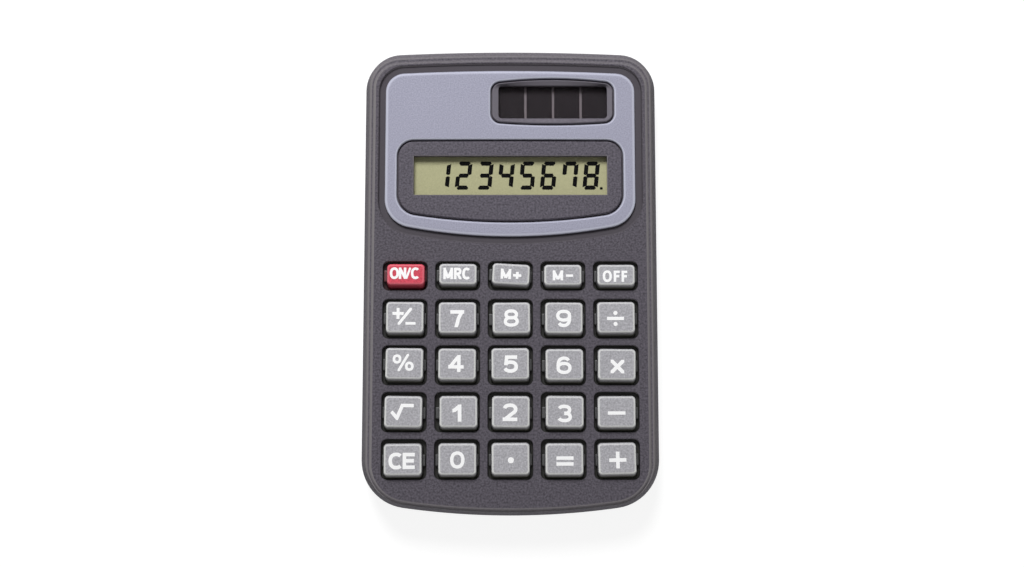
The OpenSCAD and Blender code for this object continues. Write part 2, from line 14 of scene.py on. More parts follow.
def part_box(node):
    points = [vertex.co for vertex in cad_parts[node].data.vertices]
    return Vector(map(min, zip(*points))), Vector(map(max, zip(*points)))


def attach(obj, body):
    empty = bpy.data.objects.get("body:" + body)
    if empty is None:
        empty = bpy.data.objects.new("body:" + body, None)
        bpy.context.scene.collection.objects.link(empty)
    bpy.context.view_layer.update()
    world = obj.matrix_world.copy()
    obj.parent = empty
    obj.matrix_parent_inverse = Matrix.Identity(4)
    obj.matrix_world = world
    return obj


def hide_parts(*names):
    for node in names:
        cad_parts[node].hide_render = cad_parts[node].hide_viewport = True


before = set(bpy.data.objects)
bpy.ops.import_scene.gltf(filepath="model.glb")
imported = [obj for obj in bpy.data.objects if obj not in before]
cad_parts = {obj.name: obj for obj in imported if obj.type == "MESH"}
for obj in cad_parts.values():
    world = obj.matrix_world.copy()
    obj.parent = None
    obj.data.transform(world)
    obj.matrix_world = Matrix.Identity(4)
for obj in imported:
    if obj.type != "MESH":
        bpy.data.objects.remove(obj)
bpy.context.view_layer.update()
MM = 0.001
random.seed(7)

KEYS = (
    ("on_clear", "memory_recall", "memory_plus", "memory_minus", "off"),
    ("sign_change", "7", "8", "9", "divide"),
    ("percent", "4", "5", "6", "multiply"),
    ("square_root", "1", "2", "3", "subtract"),
    ("clear_entry", "0", "decimal_point", "equals", "add"),
)

# Outline with straight sides: width, far and near end, radii of the arched ends, radii of the corners.
# An end of the straight radius is as good as straight.
Form = namedtuple("Form", "w far near far_r near_r far_c near_c")
STRAIGHT = 4000.0


def box(node):
    """Lowest and highest corner of a CAD node."""
    low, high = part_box(node)
    return low / MM, high / MM


def middle(node):
    """Centre, width and length of a CAD node."""
    low, high = box(node)
    return (low.x + high.x) / 2, (low.y + high.y) / 2, high.x - low.x, high.y - low.y


# Case: wall, width of the lap joint, height of the floor inside, clearance
CASE_LOW, CASE_HIGH = box("front_case")
CASE_W, CASE_L, CASE_H = 2 * CASE_HIGH.x, 2 * CASE_HIGH.y, CASE_HIGH.z
WALL, LAP, FLOOR_Z, FIT = 1.5, 0.75, 1.3, 0.1
SEAM, LAP_Z = CASE_LOW.z, box("rear_cover")[1].z
LEAN_Z = LAP_Z + FIT
CASE = Form(CASE_W, CASE_L / 2, -CASE_L / 2, far_r=500.0, near_r=160.0, far_c=7.5, near_c=10.0)

# The far corners are rounder at the outermost wall, and less so with each millimetre of inset
OUTER_CORNER, CORNER_FADE = 8.0, 0.32

# Bevel at the seam, and the soft bend from the upright side to the leaning shoulder: inset and height
SEAM_IN, SEAM_H = 0.12, 0.14
BEND_IN, BEND_H = 0.03, 0.2

# Section of the shoulder, the narrow ledge and the step up to the face:
# inset, depth below the face, and further inset at the far and at the near end
RIM = (
    (0.6, 2.1, 0.0, -0.1), (0.92, 1.3, 0.12, -0.25), (1.05, 1.05, 0.25, -0.33), (1.2, 0.75, 0.38, -0.42),
    (1.4, 0.57, 0.5, -0.58), (1.58, 0.52, 0.58, -0.7), (1.9, 0.5, 0.68, -0.95), (2.02, 0.34, 0.74, -1.0),
    (2.2, 0.14, 0.76, -0.98), (2.4, 0.03, 0.74, -0.9), (2.52, 0.0, 0.7, -0.7),
)

# Display panel: how far its plate departs from the CAD plate, and the section of its rounded edge
PANEL_LOW, PANEL_HIGH = box("display_panel")
PANEL_CURVES = dict(far_r=450.0, near_r=115.0, far_c=4.0, near_c=6.0)
PANEL_WIDER, PANEL_FAR_TRIM, PANEL_NEAR_MORE, PANEL_SIDE = 0.06, 0.09, 0.2, -0.055
PANEL_FAR, PANEL_NEAR = PANEL_HIGH.y - PANEL_FAR_TRIM, PANEL_LOW.y - PANEL_NEAR_MORE
PANEL = Form(2 * PANEL_HIGH.x + PANEL_WIDER, PANEL_FAR, PANEL_NEAR, **PANEL_CURVES)
PANEL_EDGE_IN, PANEL_EDGE_H, PANEL_HOLE_EDGE = 0.85, 0.35, 0.46

# Groove round the panel: its width, the rounding of its edge and foot, and the floor's rise at the far end
RECESS_Z, DECK_T = PANEL_LOW.z, 1.0
DECK_Z = RECESS_Z - DECK_T
GROOVE_W, GROOVE_NEAR, GROOVE_EDGE, GROOVE_ROUND = 1.42, 0.3, 0.2, 0.25
GROOVE_RISE, GROOVE_RISE_L = 0.33, 6.0
GROOVE = Form(2 * PANEL_HIGH.x, PANEL_HIGH.y, PANEL_LOW.y - GROOVE_NEAR, **PANEL_CURVES)

# Insets between which the groove's floor drops a little, away from the panel's underside
DROP_START, DROP_END, DROP = 0.2, 0.4, 0.05

# Window over the display: how far its lip covers the glass, rounding of its edge, corners
WINDOW_Y, GLASS_W, GLASS_L = middle("display_polariser")[1:]
LIP_Z, FILM_Z = box("display_lens")[1].z, box("display_polariser")[1].z
LIP_SIDE, LIP_END, WINDOW_DROP = 2.6, 1.365, 0.085
WINDOW_W, WINDOW_L = GLASS_W - 2 * LIP_SIDE, GLASS_L - 2 * LIP_END
WINDOW_EDGE, WINDOW_CORNER, LENS_CORNER = 0.18, 0.15, 0.3

# Display bezel: the panel's strip beside it and at its near end, and its own reach past the glass
STRIP_SIDE, STRIP_NEAR, BEZEL_REACH = 2.5, 2.77, 2.1
BEZEL_GAP, BEZEL_EDGE = 0.35, 0.28
BEZEL_FAR, BEZEL_NEAR = WINDOW_Y + GLASS_L / 2 + BEZEL_REACH, PANEL_LOW.y + STRIP_NEAR
BEZEL_CURVES = dict(far_r=STRAIGHT, near_r=130.0, far_c=3.5, near_c=4.5)
BEZEL = Form(PANEL.w - 2 * STRIP_SIDE, BEZEL_FAR, BEZEL_NEAR, **BEZEL_CURVES)

# Opening over the solar cell: the bezel covers the edge of the cell's glass
SOLAR_X, SOLAR_Y, SOLAR_GLASS_W, SOLAR_GLASS_L = middle("solar_glass")
SOLAR_SEAT_Z, SOLAR_COVER = box("solar_glass")[1].z, 0.8
SOLAR_W, SOLAR_L = SOLAR_GLASS_W - 2 * SOLAR_COVER, SOLAR_GLASS_L - 2 * SOLAR_COVER
CELL_CORNER = 0.4

# Solar bezel: a ring, and a slope from its top down to a funnel
RING_T, RING_EDGE, RING_SIDE, RING_DROP = 1.55, 0.2, -0.18, 0.13
RING_X, RING_Y, RING_REACH = SOLAR_X + RING_SIDE, SOLAR_Y - RING_DROP, SOLAR_L / 2 + RING_T
RING_CURVES = dict(far_r=95.0, near_r=150.0, far_c=2.2, near_c=2.2)
RING = Form(SOLAR_W + 2 * RING_T, RING_Y + RING_REACH, RING_Y - RING_REACH, **RING_CURVES)
SLOPE_H, FUNNEL_CORNER, FUNNEL_SIDE, FUNNEL_NEAR = 0.5, 0.8, -0.1, 0.15
SLOPE_Z = CASE_H - SLOPE_H

# Key wells: how far the CAD flange reaches under the case, corner, trim and rounding of the edge
KEY_Z, KEY_TOP = (corner.z for corner in box("key_7"))
FLANGE_H, FLANGE_LIP = 0.7, 0.5
SKIN_Z = KEY_Z + FLANGE_H
WELL_R, WELL_TRIM, WELL_EDGE = 1.2, 0.04, 0.16

# Key caps: gaps in the well, draft of the sides, lean of the near side, rounding of edge and corners
SIDE_GAP, END_GAP = 0.53, 0.5
KEY_FOOT, KEY_DRAFT, FACE_DRAFT, KEY_LEAN, KEY_FLARE = 0.03, 0.3, 0.18, 0.34, 0.2
KEY_EDGE_IN, KEY_EDGE_H = 0.5, 0.33
KEY_CORNER, KEY_CORNER_FADE, KEY_CORNER_LEAST = 1.0, 0.75, 0.4
FLANGE_OUT, FLANGE_PLAY = 0.3, 0.02

# Guide nubs: their bevel as pairs of inset and depth below the top
NUB_W, NUB_L, NUB_R, NUB_SUNK, NUB_DEPTH = 1.0, 2.4, 0.18, 0.2, 0.3
NUB_BEVEL = ((0.0, 0.2), (0.06, 0.05), (0.16, 0.0))

# Legends: thin plates, sunk into the caps and almost as high as the CAD keys
CAP_DEPTH, LEGEND_SUNK, LEGEND_DEPTH, LEGEND_SIDE = 0.03, 0.02, 0.005, -0.18
TOP_Z = KEY_TOP - CAP_DEPTH

# Bay under the keys, open towards the rear cover, and how far the wall leans in up to the deck
BAY_WALL, BAY_REACH, BAY_CORNER, DECK_IN = 2.8, 12.85, 0.5, 0.88
BAY = Form(
    CASE_W - 2 * BAY_WALL, middle("key_7")[1] + BAY_REACH, -CASE_L / 2 + BAY_WALL,
    far_r=STRAIGHT, near_r=CASE.near_r - BAY_WALL, far_c=BAY_CORNER, near_c=CASE.near_c - BAY_WALL)

# Rear cover: rounding of the back, and the screw posts. The near ones stand between two columns of keys.
BACK_IN, BACK_H, BACK_STEPS, TONGUE_BEVEL = 1.6, 2.0, 8, 0.1
SCREW_LOW, SCREW_HIGH = box("case_screws")
HEAD_R = 1.6
HEAD_HOLE_R, HEAD_HOLE_H, SHANK_HOLE_R, HOLE_BEVEL = 1.9, 1.7, 0.95, 0.1
POST_R, POST_Z = 2.15, 4.0
KEY_PITCH = middle("key_8")[0] - middle("key_7")[0]
NEAR_POST_X = 1.5 * KEY_PITCH
POSTS = [(side * NEAR_POST_X, SCREW_LOW.y + HEAD_R) for side in (-1, 1)]
POSTS += [(side * (SCREW_HIGH.x - HEAD_R), SCREW_HIGH.y - HEAD_R) for side in (-1, 1)]


def well(name):
    """Centre, width and length of a key's well."""
    x, y, w, l = middle("key_" + name)
    return x, y, w - 2 * FLANGE_LIP, l - 2 * FLANGE_LIP


# Outlines: steps of a corner and of an arched end, and the smallest corner
CORNER_STEPS, END_STEPS, LEAST_CORNER = 14, 24, 0.1


def arc(cx, cy, r, start, end, steps):
    """Points of an arc with both ends, angles in degrees."""
    angles = [radians(start + (end - start) * i / steps) for i in range(steps + 1)]
    return [(cx + r * cos(a), cy + r * sin(a)) for a in angles]


def outline(form, inset=0.0, side=0.0):
    """Points of a form's outline, moved inwards by an inset, and to the side."""
    w, far, near = form.w - 2 * inset, form.far - inset, form.near + inset
    far_r, near_r = form.far_r - inset, form.near_r - inset
    far_c, near_c = max(form.far_c - inset, LEAST_CORNER), max(form.near_c - inset, LEAST_CORNER)
    far_y = far - far_r + sqrt((far_r - far_c) ** 2 - (w / 2 - far_c) ** 2)
    near_y = near + near_r - sqrt((near_r - near_c) ** 2 - (w / 2 - near_c) ** 2)
    far_a = degrees(asin((w / 2 - far_c) / (far_r - far_c)))
    near_a = degrees(asin((w / 2 - near_c) / (near_r - near_c)))
    points = arc(w / 2 - near_c, near_y, near_c, near_a - 90, 0, CORNER_STEPS)
    points += arc(w / 2 - far_c, far_y, far_c, 0, 90 - far_a, CORNER_STEPS)
    points += arc(0, far - far_r, far_r, 90 - far_a, 90 + far_a, END_STEPS)[1:-1]
    points += arc(far_c - w / 2, far_y, far_c, 90 + far_a, 180, CORNER_STEPS)
    points += arc(near_c - w / 2, near_y, near_c, 180, 270 - near_a, CORNER_STEPS)
    points += arc(0, near + near_r, near_r, 270 - near_a, 270 + near_a, END_STEPS)[1:-1]
    return [(x + side, y) for x, y in points]


def case_outline(inset, far=0.0, near=0.0):
    """Outline of the case, moved inwards, and further at either end."""
    corner = max(CASE.far_c, OUTER_CORNER - CORNER_FADE * inset)
    return outline(CASE._replace(far=CASE.far - far, near=CASE.near + near, far_c=corner), inset)


def bezel_outline(inset):
    """Outline of the display bezel, moved inwards."""
    return outline(BEZEL, inset, PANEL_SIDE)


def ring_outline(inset):
    """Outline of the solar bezel, moved inwards."""
    return outline(RING, inset, RING_X)


def solar_window(grow, corner, side=0.0, more=0.0):
    """Straight opening over the solar cell, grown outwards, moved to the side and longer at its near end."""
    w, reach = SOLAR_W + 2 * grow, SOLAR_L / 2 + grow
    form = Form(w, SOLAR_Y + reach, SOLAR_Y - reach - more, STRAIGHT, STRAIGHT, corner, corner)
    return outline(form, side=SOLAR_X + side)


def rounded(cx, cy, w, l, r, steps=7):
    """Rectangle with round corners."""
    points = []
    for q, (sx, sy) in enumerate(((1, 1), (-1, 1), (-1, -1), (1, -1))):
        points += arc(cx + sx * (w / 2 - r), cy + sy * (l / 2 - r), r, 90 * q, 90 * q + 90, steps)
    return points


def circle(cx, cy, r, steps=32):
    """Points of a circle."""
    return arc(cx, cy, r, 0, 360, steps)[:-1]


def quarter(steps):
    """Angles of a quarter turn with both ends."""
    return [pi / 2 * i / steps for i in range(steps + 1)]


def fillet(inset, z, r_in, r_z, steps=5):
    """(inset, z) pairs of a convex quarter round that starts upright at (inset, z) and ends level."""
    return [(inset + r_in * (1 - cos(a)), z + r_z * sin(a)) for a in quarter(steps)]


def lip(r, steps=4):
    """(growth, z) pairs of a hole's edge, rounded by r from the case's face down."""
    return [(r * (1 - sin(a)), CASE_H - r * (1 - cos(a))) for a in quarter(steps)]


def inside(point, polygon):
    """Whether a point lies in a polygon."""
    x, y = point
    hit = False
    for (x0, y0), (x1, y1) in zip(polygon, polygon[1:] + polygon[:1]):
        if (y0 > y) != (y1 > y) and x < x0 + (y - y0) * (x1 - x0) / (y1 - y0):
            hit = not hit
    return hit


# Meshes: angle of a sharp edge in degrees, distances at which points are one, modes of the triangulation
SHARP_ANGLE, SAME_POINT = 32, 1e-7
TRIANGLES_OF_HULL, TRIANGLES_OF_FACES, SAME_STROKE_POINT = 0, 1, 1e-4


class Shell:
    """A closed mesh made of loops of points, strips between them and flat fills."""

    def __init__(self):
        self.verts, self.faces, self.marks = [], [], []

    def loop(self, points, z):
        """Adds a level loop and gives the numbers of its points."""
        start = len(self.verts)
        self.verts += [(x, y, z) for x, y in points]
        return list(range(start, len(self.verts)))

    def strip(self, *loops):
        """Joins each loop to the next."""
        for a, b in zip(loops, loops[1:]):
            for i in range(len(a)):
                j = (i + 1) % len(a)
                self.faces.append((a[i], a[j], b[j], b[i]))

    def fill(self, outer, holes=()):
        """Closes a loop with triangles, apart from its holes."""
        ids, edges = [], []
        for ring in (outer, *holes):
            base = len(ids)
            edges += [(base + i, base + (i + 1) % len(ring)) for i in range(len(ring))]
            ids += ring
        flat = [Vector(self.verts[i][:2]) for i in ids]
        rings = [[self.verts[i][:2] for i in ring] for ring in (outer, *holes)]
        coords, _, tris, origin, _, _ = delaunay_2d_cdt(flat, edges, [], TRIANGLES_OF_HULL, SAME_POINT)
        for tri in tris:
            centre = sum((coords[i] for i in tri), Vector((0, 0))) / 3
            if inside(centre, rings[0]) and not any(inside(centre, ring) for ring in rings[1:]):
                self.faces.append([ids[origin[i][0]] for i in tri])

    def next_material(self):
        """Gives the faces that follow the next of the piece's materials."""
        self.marks.append(len(self.faces))

    def piece(self, name, materials, body, node=None, slot=None, place=Matrix()):
        """Makes the mesh a smooth piece of the scene that rides on a body."""
        mesh = bpy.data.meshes.new(name)
        mesh.from_pydata([place @ Vector(v) * MM for v in self.verts], [], self.faces)
        for polygon in mesh.polygons:
            polygon.material_index = sum(polygon.index >= mark for mark in self.marks)
        bm = bmesh.new()
        bm.from_mesh(mesh)
        bmesh.ops.remove_doubles(bm, verts=bm.verts, dist=SAME_POINT)
        bmesh.ops.recalc_face_normals(bm, faces=bm.faces)
        bm.to_mesh(mesh)
        bm.free()
        for polygon in mesh.polygons:
            polygon.use_smooth = True
        mesh.set_sharp_from_angle(angle=radians(SHARP_ANGLE))
        obj = bpy.data.objects.new(name, mesh)
        bpy.context.scene.collection.objects.link(obj)
        weighted = obj.modifiers.new("even_normals", "WEIGHTED_NORMAL")
        weighted.keep_sharp = True
        for m in materials:
            mesh.materials.append(m)
        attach(obj, body)
        if node:
            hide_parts(node)


# Materials
class Graph:
    """Short calls for the nodes of a material or the world."""

    def __init__(self, owner):
        owner.use_nodes = True
        self.tree = owner.node_tree

    def feed(self, node, inputs):
        """Links each input to another node's output, or sets its value."""
        for name, value in inputs.items():
            if isinstance(value, bpy.types.NodeSocket):
                self.tree.links.new(value, node.inputs[name])
            else:
                node.inputs[name].default_value = value

    def node(self, kind, inputs=None, operation=None):
        """Outputs of a new node."""
        node = self.tree.nodes.new("ShaderNode" + kind)
        if operation:
            node.operation = operation
        self.feed(node, inputs or {})
        return node.outputs

    def math(self, operation, a, b):
        """Result of an operation on two numbers."""
        return self.node("Math", {0: a, 1: b}, operation)["Value"]

    def span(self, source, start, end, low=0.0, high=1.0):
        """low to high as the source goes from start to end, and level beyond."""
        inputs = {"Value": source, "From Min": start, "From Max": end, "To Min": low, "To Max": high}
        return self.node("MapRange", inputs)["Result"]

    def mix(self, weight, a, b):
        """Colour a, or b where the weight is 1."""
        return self.node("MixRGB", {"Fac": weight, "Color1": a, "Color2": b})["Color"]

    def ramp(self, source, *stops):
        """Colour ramp, with its first and last stop given first."""
        node = self.tree.nodes.new("ShaderNodeValToRGB")
        elements = node.color_ramp.elements
        for i, (position, colour) in enumerate(stops):
            stop = elements[i] if i < 2 else elements.new(position)
            stop.position = position
            stop.color = colour
        self.feed(node, {"Fac": source})
        return node.outputs["Color"]


# Painted highlight on rounded edges: colour, weight on almost level faces, shares on faces towards the near
# and the far end
PaintedHighlight = namedtuple("PaintedHighlight", "rgb weight near far")

# Upward part of the normal where the painted highlight starts, is full, has its weight and ends, and its
# fades along Y
EDGE_START, EDGE_FULL, EDGE_PART, EDGE_END = 0.25, 0.6, 0.97, 0.998
NEAR_FADE, FAR_FADE = (-0.15, -0.4), (0.7, -0.1)

# Painted shade that a surface fades to below a height: its colour, the colour painted on faces towards the
# near end, heights of the fade
PaintedShade = namedtuple("PaintedShade", "rgb front full_z start_z")
FRONT_FADE = (-0.4, -0.9)

# Grain: detail of its noise, noise at its dark and light tones, depth. Gloss: scale of its noise, spread.
GRAIN_DETAIL, GRAIN_DARK, GRAIN_LIGHT, GRAIN_DEPTH = 3.0, 0.3, 0.7, 0.2 * MM
GLOSS_SCALE, GLOSS_VARY, GLOSS_LEAST = 120.0, 0.06, 0.02


def linear(rgb, factor=1.0):
    """Linear colour of 8-bit sRGB values, made lighter or darker."""
    values = [c / 255 for c in rgb]
    values = [v / 12.92 if v <= 0.04045 else ((v + 0.055) / 1.055) ** 2.4 for v in values]
    return (*(min(v * factor, 1) for v in values), 1)


def painted_highlight_weight(graph, normal, rim):
    """Where the painted highlight shows: on faces that lean, by the ends that they lean to."""
    none, full, part = ((v, v, v, 1) for v in (0.0, 1.0, rim.weight))
    stops = ((EDGE_START, none), (EDGE_END, none), (EDGE_FULL, full), (EDGE_PART, part))
    weight = graph.ramp(normal["Z"], *stops)
    weight = graph.math("MULTIPLY", weight, graph.span(normal["Y"], *FAR_FADE, rim.far))
    return graph.math("MULTIPLY", weight, graph.span(normal["Y"], *NEAR_FADE, 1.0, rim.near))


def material(name, rgb, rough=0.5, metal=0.0, grain=2600.0, vary=0.1, bump=0.12, alpha=1.0, spec=0.5,
             rim=None, painted_shade=None):
    """Grainy surface: fine noise in colour and relief, broad noise in gloss. Where given, a painted
    highlight on leaning edges and painted shade below a height.
    """
    m = bpy.data.materials.new(name)
    graph = Graph(m)
    place = graph.node("TexCoord")["Object"]
    fine = graph.node("TexNoise", {"Vector": place, "Scale": grain, "Detail": GRAIN_DETAIL})["Fac"]
    broad = graph.node("TexNoise", {"Vector": place, "Scale": GLOSS_SCALE})["Fac"]
    stops = ((GRAIN_DARK, linear(rgb, 1 - vary)), (GRAIN_LIGHT, linear(rgb, 1 + vary)))
    colour = graph.ramp(fine, *stops)
    if rim or painted_shade:
        normal = graph.node("SeparateXYZ", {"Vector": graph.node("NewGeometry")["Normal"]})
    # painted highlight on leaning edges
    if rim:
        colour = graph.mix(painted_highlight_weight(graph, normal, rim), colour, linear(rim.rgb))
    # painted shade below a height, in its own colour on faces towards the near end
    if painted_shade:
        front = graph.span(normal["Y"], *FRONT_FADE)
        below = graph.mix(front, linear(painted_shade.rgb), linear(painted_shade.front))
        height = graph.node("SeparateXYZ", {"Vector": place})["Z"]
        colour = graph.mix(graph.span(height, painted_shade.start_z * MM, painted_shade.full_z * MM), colour, below)
    matt, shiny = min(rough + GLOSS_VARY, 1.0), max(rough - GLOSS_VARY, GLOSS_LEAST)
    relief = graph.node("Bump", {"Strength": bump, "Distance": GRAIN_DEPTH, "Height": fine})["Normal"]
    graph.feed(m.node_tree.nodes["Principled BSDF"], {
        "Base Color": colour, "Roughness": graph.span(broad, 0.0, 1.0, shiny, matt), "Normal": relief,
        "Metallic": metal, "Alpha": alpha, "Specular IOR Level": spec,
    })
    return m


# Case plastic, with a painted highlight on its rounded edges
CASE_MAT = material(
    "case_plastic", (86, 82, 90), rough=0.6, spec=0.1, grain=2400, vary=0.4, bump=0.3,
    rim=PaintedHighlight((136, 132, 134), weight=0.85, near=0.6, far=0.2))
# A slightly lighter copy of the case plastic that paints light on the bezel, without a painted highlight
BEZEL_MAT = material(
    "bezel_plastic", (90, 86, 95), rough=0.6, spec=0.1, grain=2400, vary=0.4, bump=0.3)
# A darker copy of the case plastic, painted shade for the groove, with painted light on its walls towards
# the near end
GROOVE_MAT = material(
    "groove_plastic", (79, 75, 81), rough=0.65, spec=0.1, grain=2400, vary=0.35, bump=0.25,
    painted_shade=PaintedShade((79, 75, 81), (144, 139, 144), full_z=CASE_H - 0.15, start_z=CASE_H - 0.05))
# A lighter copy of the case plastic that paints light on the solar ring, with a painted highlight
RING_MAT = material(
    "ring_plastic", (95, 91, 100), rough=0.6, spec=0.1, grain=2400, vary=0.3, bump=0.2,
    rim=PaintedHighlight((116, 112, 120), weight=1.0, near=1.0, far=0.0))
# The case plastic with painted shade deep in the wells and painted light on walls towards the near end
WELL_MAT = material(
    "well_plastic", (86, 82, 90), rough=0.7, spec=0.1, grain=2400, vary=0.3, bump=0.2,
    painted_shade=PaintedShade((38, 36, 39), (166, 161, 165), full_z=CASE_H - 0.2, start_z=CASE_H))
COVER_MAT = material(
    "cover_plastic", (78, 74, 80), rough=0.65, spec=0.1, grain=2200, vary=0.35, bump=0.3)
# Panel paint, with a painted highlight on its rounded edges
PANEL_MAT = material(
    "panel_paint", (151, 151, 168), rough=0.6, metal=0.1, spec=0.2, grain=3600, vary=0.16, bump=0.06,
    rim=PaintedHighlight((194, 196, 211), weight=0.85, near=1.0, far=0.0))
# Key plastic, with a painted highlight on its top's edges and painted shade on its sides down in the well,
# less dark towards the near end
KEY_MAT = material(
    "key_grey", (169, 168, 173), rough=0.5, spec=0.2, grain=2800, vary=0.25, bump=0.14,
    rim=PaintedHighlight((234, 235, 231), weight=0.75, near=0.7, far=0.0),
    painted_shade=PaintedShade((40, 40, 38), (98, 98, 90), full_z=CASE_H - 0.1, start_z=CASE_H + 0.9))
# Red key plastic, with a painted highlight on its top's edges and painted shade on its sides down in the
# well, less dark towards the near end
RED_MAT = material(
    "key_red", (206, 75, 92), rough=0.5, spec=0.2, grain=2800, vary=0.22, bump=0.14,
    rim=PaintedHighlight((234, 120, 134), weight=0.75, near=0.7, far=0.0),
    painted_shade=PaintedShade((40, 18, 21), (165, 62, 74), full_z=CASE_H - 0.1, start_z=CASE_H + 0.9))
# Darker copies of the key plastics, painted shade for the nubs in the gaps
KEY_NUB = material("nub_grey", (56, 56, 57), rough=0.5, grain=3000, vary=0.2, bump=0.12)
RED_NUB = material("nub_red", (72, 21, 28), rough=0.5, grain=3000, vary=0.16, bump=0.12)
INK_MAT = material("legend_ink", (252, 252, 253), rough=0.55, grain=5000, vary=0.03, bump=0.05)
SEGMENT_MAT = material("segment_black", (5, 5, 6), rough=0.8, spec=0.0, grain=5000, vary=0.2, bump=0.02)

# Looks of the CAD nodes that are shown as they are
GLASS = dict(rgb=(196, 206, 190), rough=0.12, alpha=0.35, bump=0.0, vary=0.02)
CONTACT = dict(rgb=(202, 196, 182), rough=0.3, metal=1.0, grain=2600, vary=0.08)
SCREW = dict(rgb=(168, 168, 172), rough=0.35, metal=1.0, grain=2600, vary=0.1)
CAD_LOOKS = {
    "display_lens": dict(rgb=(225, 228, 226), rough=0.12, alpha=0.004, bump=0.0, vary=0.02),
    "display_polariser": dict(rgb=(171, 169, 132), rough=0.6, spec=0.2, grain=3000, vary=0.06, bump=0.03),
    "display_front_glass": GLASS,
    "display_rear_glass": GLASS,
    "display_reflector": dict(rgb=(186, 186, 160), rough=0.45, metal=0.4, grain=3000, vary=0.05),
    "display_connector": dict(rgb=(40, 40, 44), rough=0.75, grain=5200, vary=0.3),
    "display_foam": dict(rgb=(70, 72, 78), rough=0.95, grain=3800, vary=0.4, bump=0.6),
    "solar_glass": dict(rgb=(60, 54, 58), rough=0.1, alpha=0.03, bump=0.0, vary=0.02),
    "solar_strips_film": dict(rgb=(31, 26, 30), rough=0.5, spec=0.08, grain=1800, vary=0.15, bump=0.02),
    "solar_backing": dict(rgb=(118, 109, 114), rough=0.5, spec=0.2, grain=4200, vary=0.08),
    "solar_lead_positive": dict(rgb=(176, 34, 34), rough=0.45, grain=2600, vary=0.08),
    "solar_lead_negative": dict(rgb=(24, 24, 26), rough=0.45, grain=2600, vary=0.12),
    "circuit_board": dict(rgb=(150, 108, 58), rough=0.6, grain=1500, vary=0.18, bump=0.1),
    "chip_blob": dict(rgb=(18, 18, 20), rough=0.3, grain=900, vary=0.25, bump=0.15),
    "buffer_capacitor": dict(rgb=(196, 150, 60), rough=0.4, grain=2600, vary=0.1),
    "timing_resistor": dict(rgb=(28, 28, 30), rough=0.5, grain=3800, vary=0.2),
    "contact_pads": dict(rgb=(34, 34, 36), rough=0.7, grain=4800, vary=0.25),
    "keypad_sheet": dict(rgb=(176, 180, 176), rough=0.8, grain=2200, vary=0.06, bump=0.1),
    "contact_pills": dict(rgb=(30, 30, 32), rough=0.8, grain=4200, vary=0.25),
    "button_cell": dict(rgb=(196, 196, 200), rough=0.3, metal=1.0, grain=3200, vary=0.06),
    "cell_contact_positive": CONTACT,
    "cell_contact_negative": CONTACT,
    "case_screws": SCREW,
    "board_screws": SCREW,
}

# The layers of display and solar cell are drawn slightly smaller, so that no two faces share a plane
SAME_CAD_POINT, LAYER_GAP = 0.001 * MM, 0.03 * MM
for node, look in CAD_LOOKS.items():
    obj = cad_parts[node]
    obj.data.materials.clear()
    obj.data.materials.append(material("finish_" + node, **look))
    if node.startswith(("display_", "solar_")):
        welded = obj.modifiers.new("welded", "WELD")
        welded.merge_threshold = SAME_CAD_POINT
        apart = obj.modifiers.new("apart", "DISPLACE")
        apart.strength = -LAYER_GAP
        apart.mid_level = 0.0


# Front case
def rim_loops(s):
    """Loops of the side and the rim, from the seam up to the face."""
    section = [(SEAM_IN, SEAM, 0.0, 0.0), (0.0, SEAM + SEAM_H, 0.0, 0.0)]
    section += [(0.0, LEAN_Z - BEND_H, 0.0, 0.0), (BEND_IN, LEAN_Z + BEND_H, 0.0, 0.0)]
    section += [(inset, CASE_H - depth, far, near) for inset, depth, far, near in RIM]
    return [s.loop(case_outline(inset, far, near), z) for inset, z, far, near in section]


def well_loops(s, name):
    """Loops of a key's well, from its rounded edge down."""
    x, y, w, l = well(name)
    loops = []
    for growth, z in (*lip(WELL_EDGE), (0.0, SKIN_Z)):
        more = 2 * (growth - WELL_TRIM)
        loops.append(s.loop(rounded(x, y, w + more, l + more, WELL_R + growth), z))
    return loops


def window_loops(s):
    """Loops of the display's window, from its rounded edge down to the lens."""
    loops = []
    for growth, z in (*lip(WINDOW_EDGE), (0.0, LIP_Z)):
        w, l, r = WINDOW_W + 2 * growth, WINDOW_L + 2 * growth, WINDOW_CORNER + growth
        loops.append(s.loop(rounded(0, WINDOW_Y - WINDOW_DROP, w, l, r), z))
    return loops


def bezel_loops(s, shape, edge):
    """Loops of a bezel's outer wall, from the recess up to its rounded edge."""
    section = [(BEZEL_GAP, RECESS_Z), *fillet(BEZEL_GAP, CASE_H - edge, edge, edge)]
    return [s.loop(shape(inset), z) for inset, z in section]


def groove_loops(s):
    """Loops of the groove's hollow floor, from its wall to just under the panel. It rises at the far end."""
    section = [(1 - cos(a), 1 - sin(a)) for a in quarter(steps=3)]
    section = [(GROOVE_ROUND * a - GROOVE_W, RECESS_Z + GROOVE_ROUND * b) for a, b in section]
    section += [(DROP_START, RECESS_Z), (DROP_END, RECESS_Z - DROP)]
    loops = [s.loop(outline(GROOVE, inset), z) for inset, z in section]
    for i in (i for loop in loops[:-1] for i in loop):
        x, y, z = s.verts[i]
        share = min(max((y - PANEL_HIGH.y) / GROOVE_RISE_L + 1, 0), 1)
        s.verts[i] = (x, y, z + GROOVE_RISE * share)
    return loops


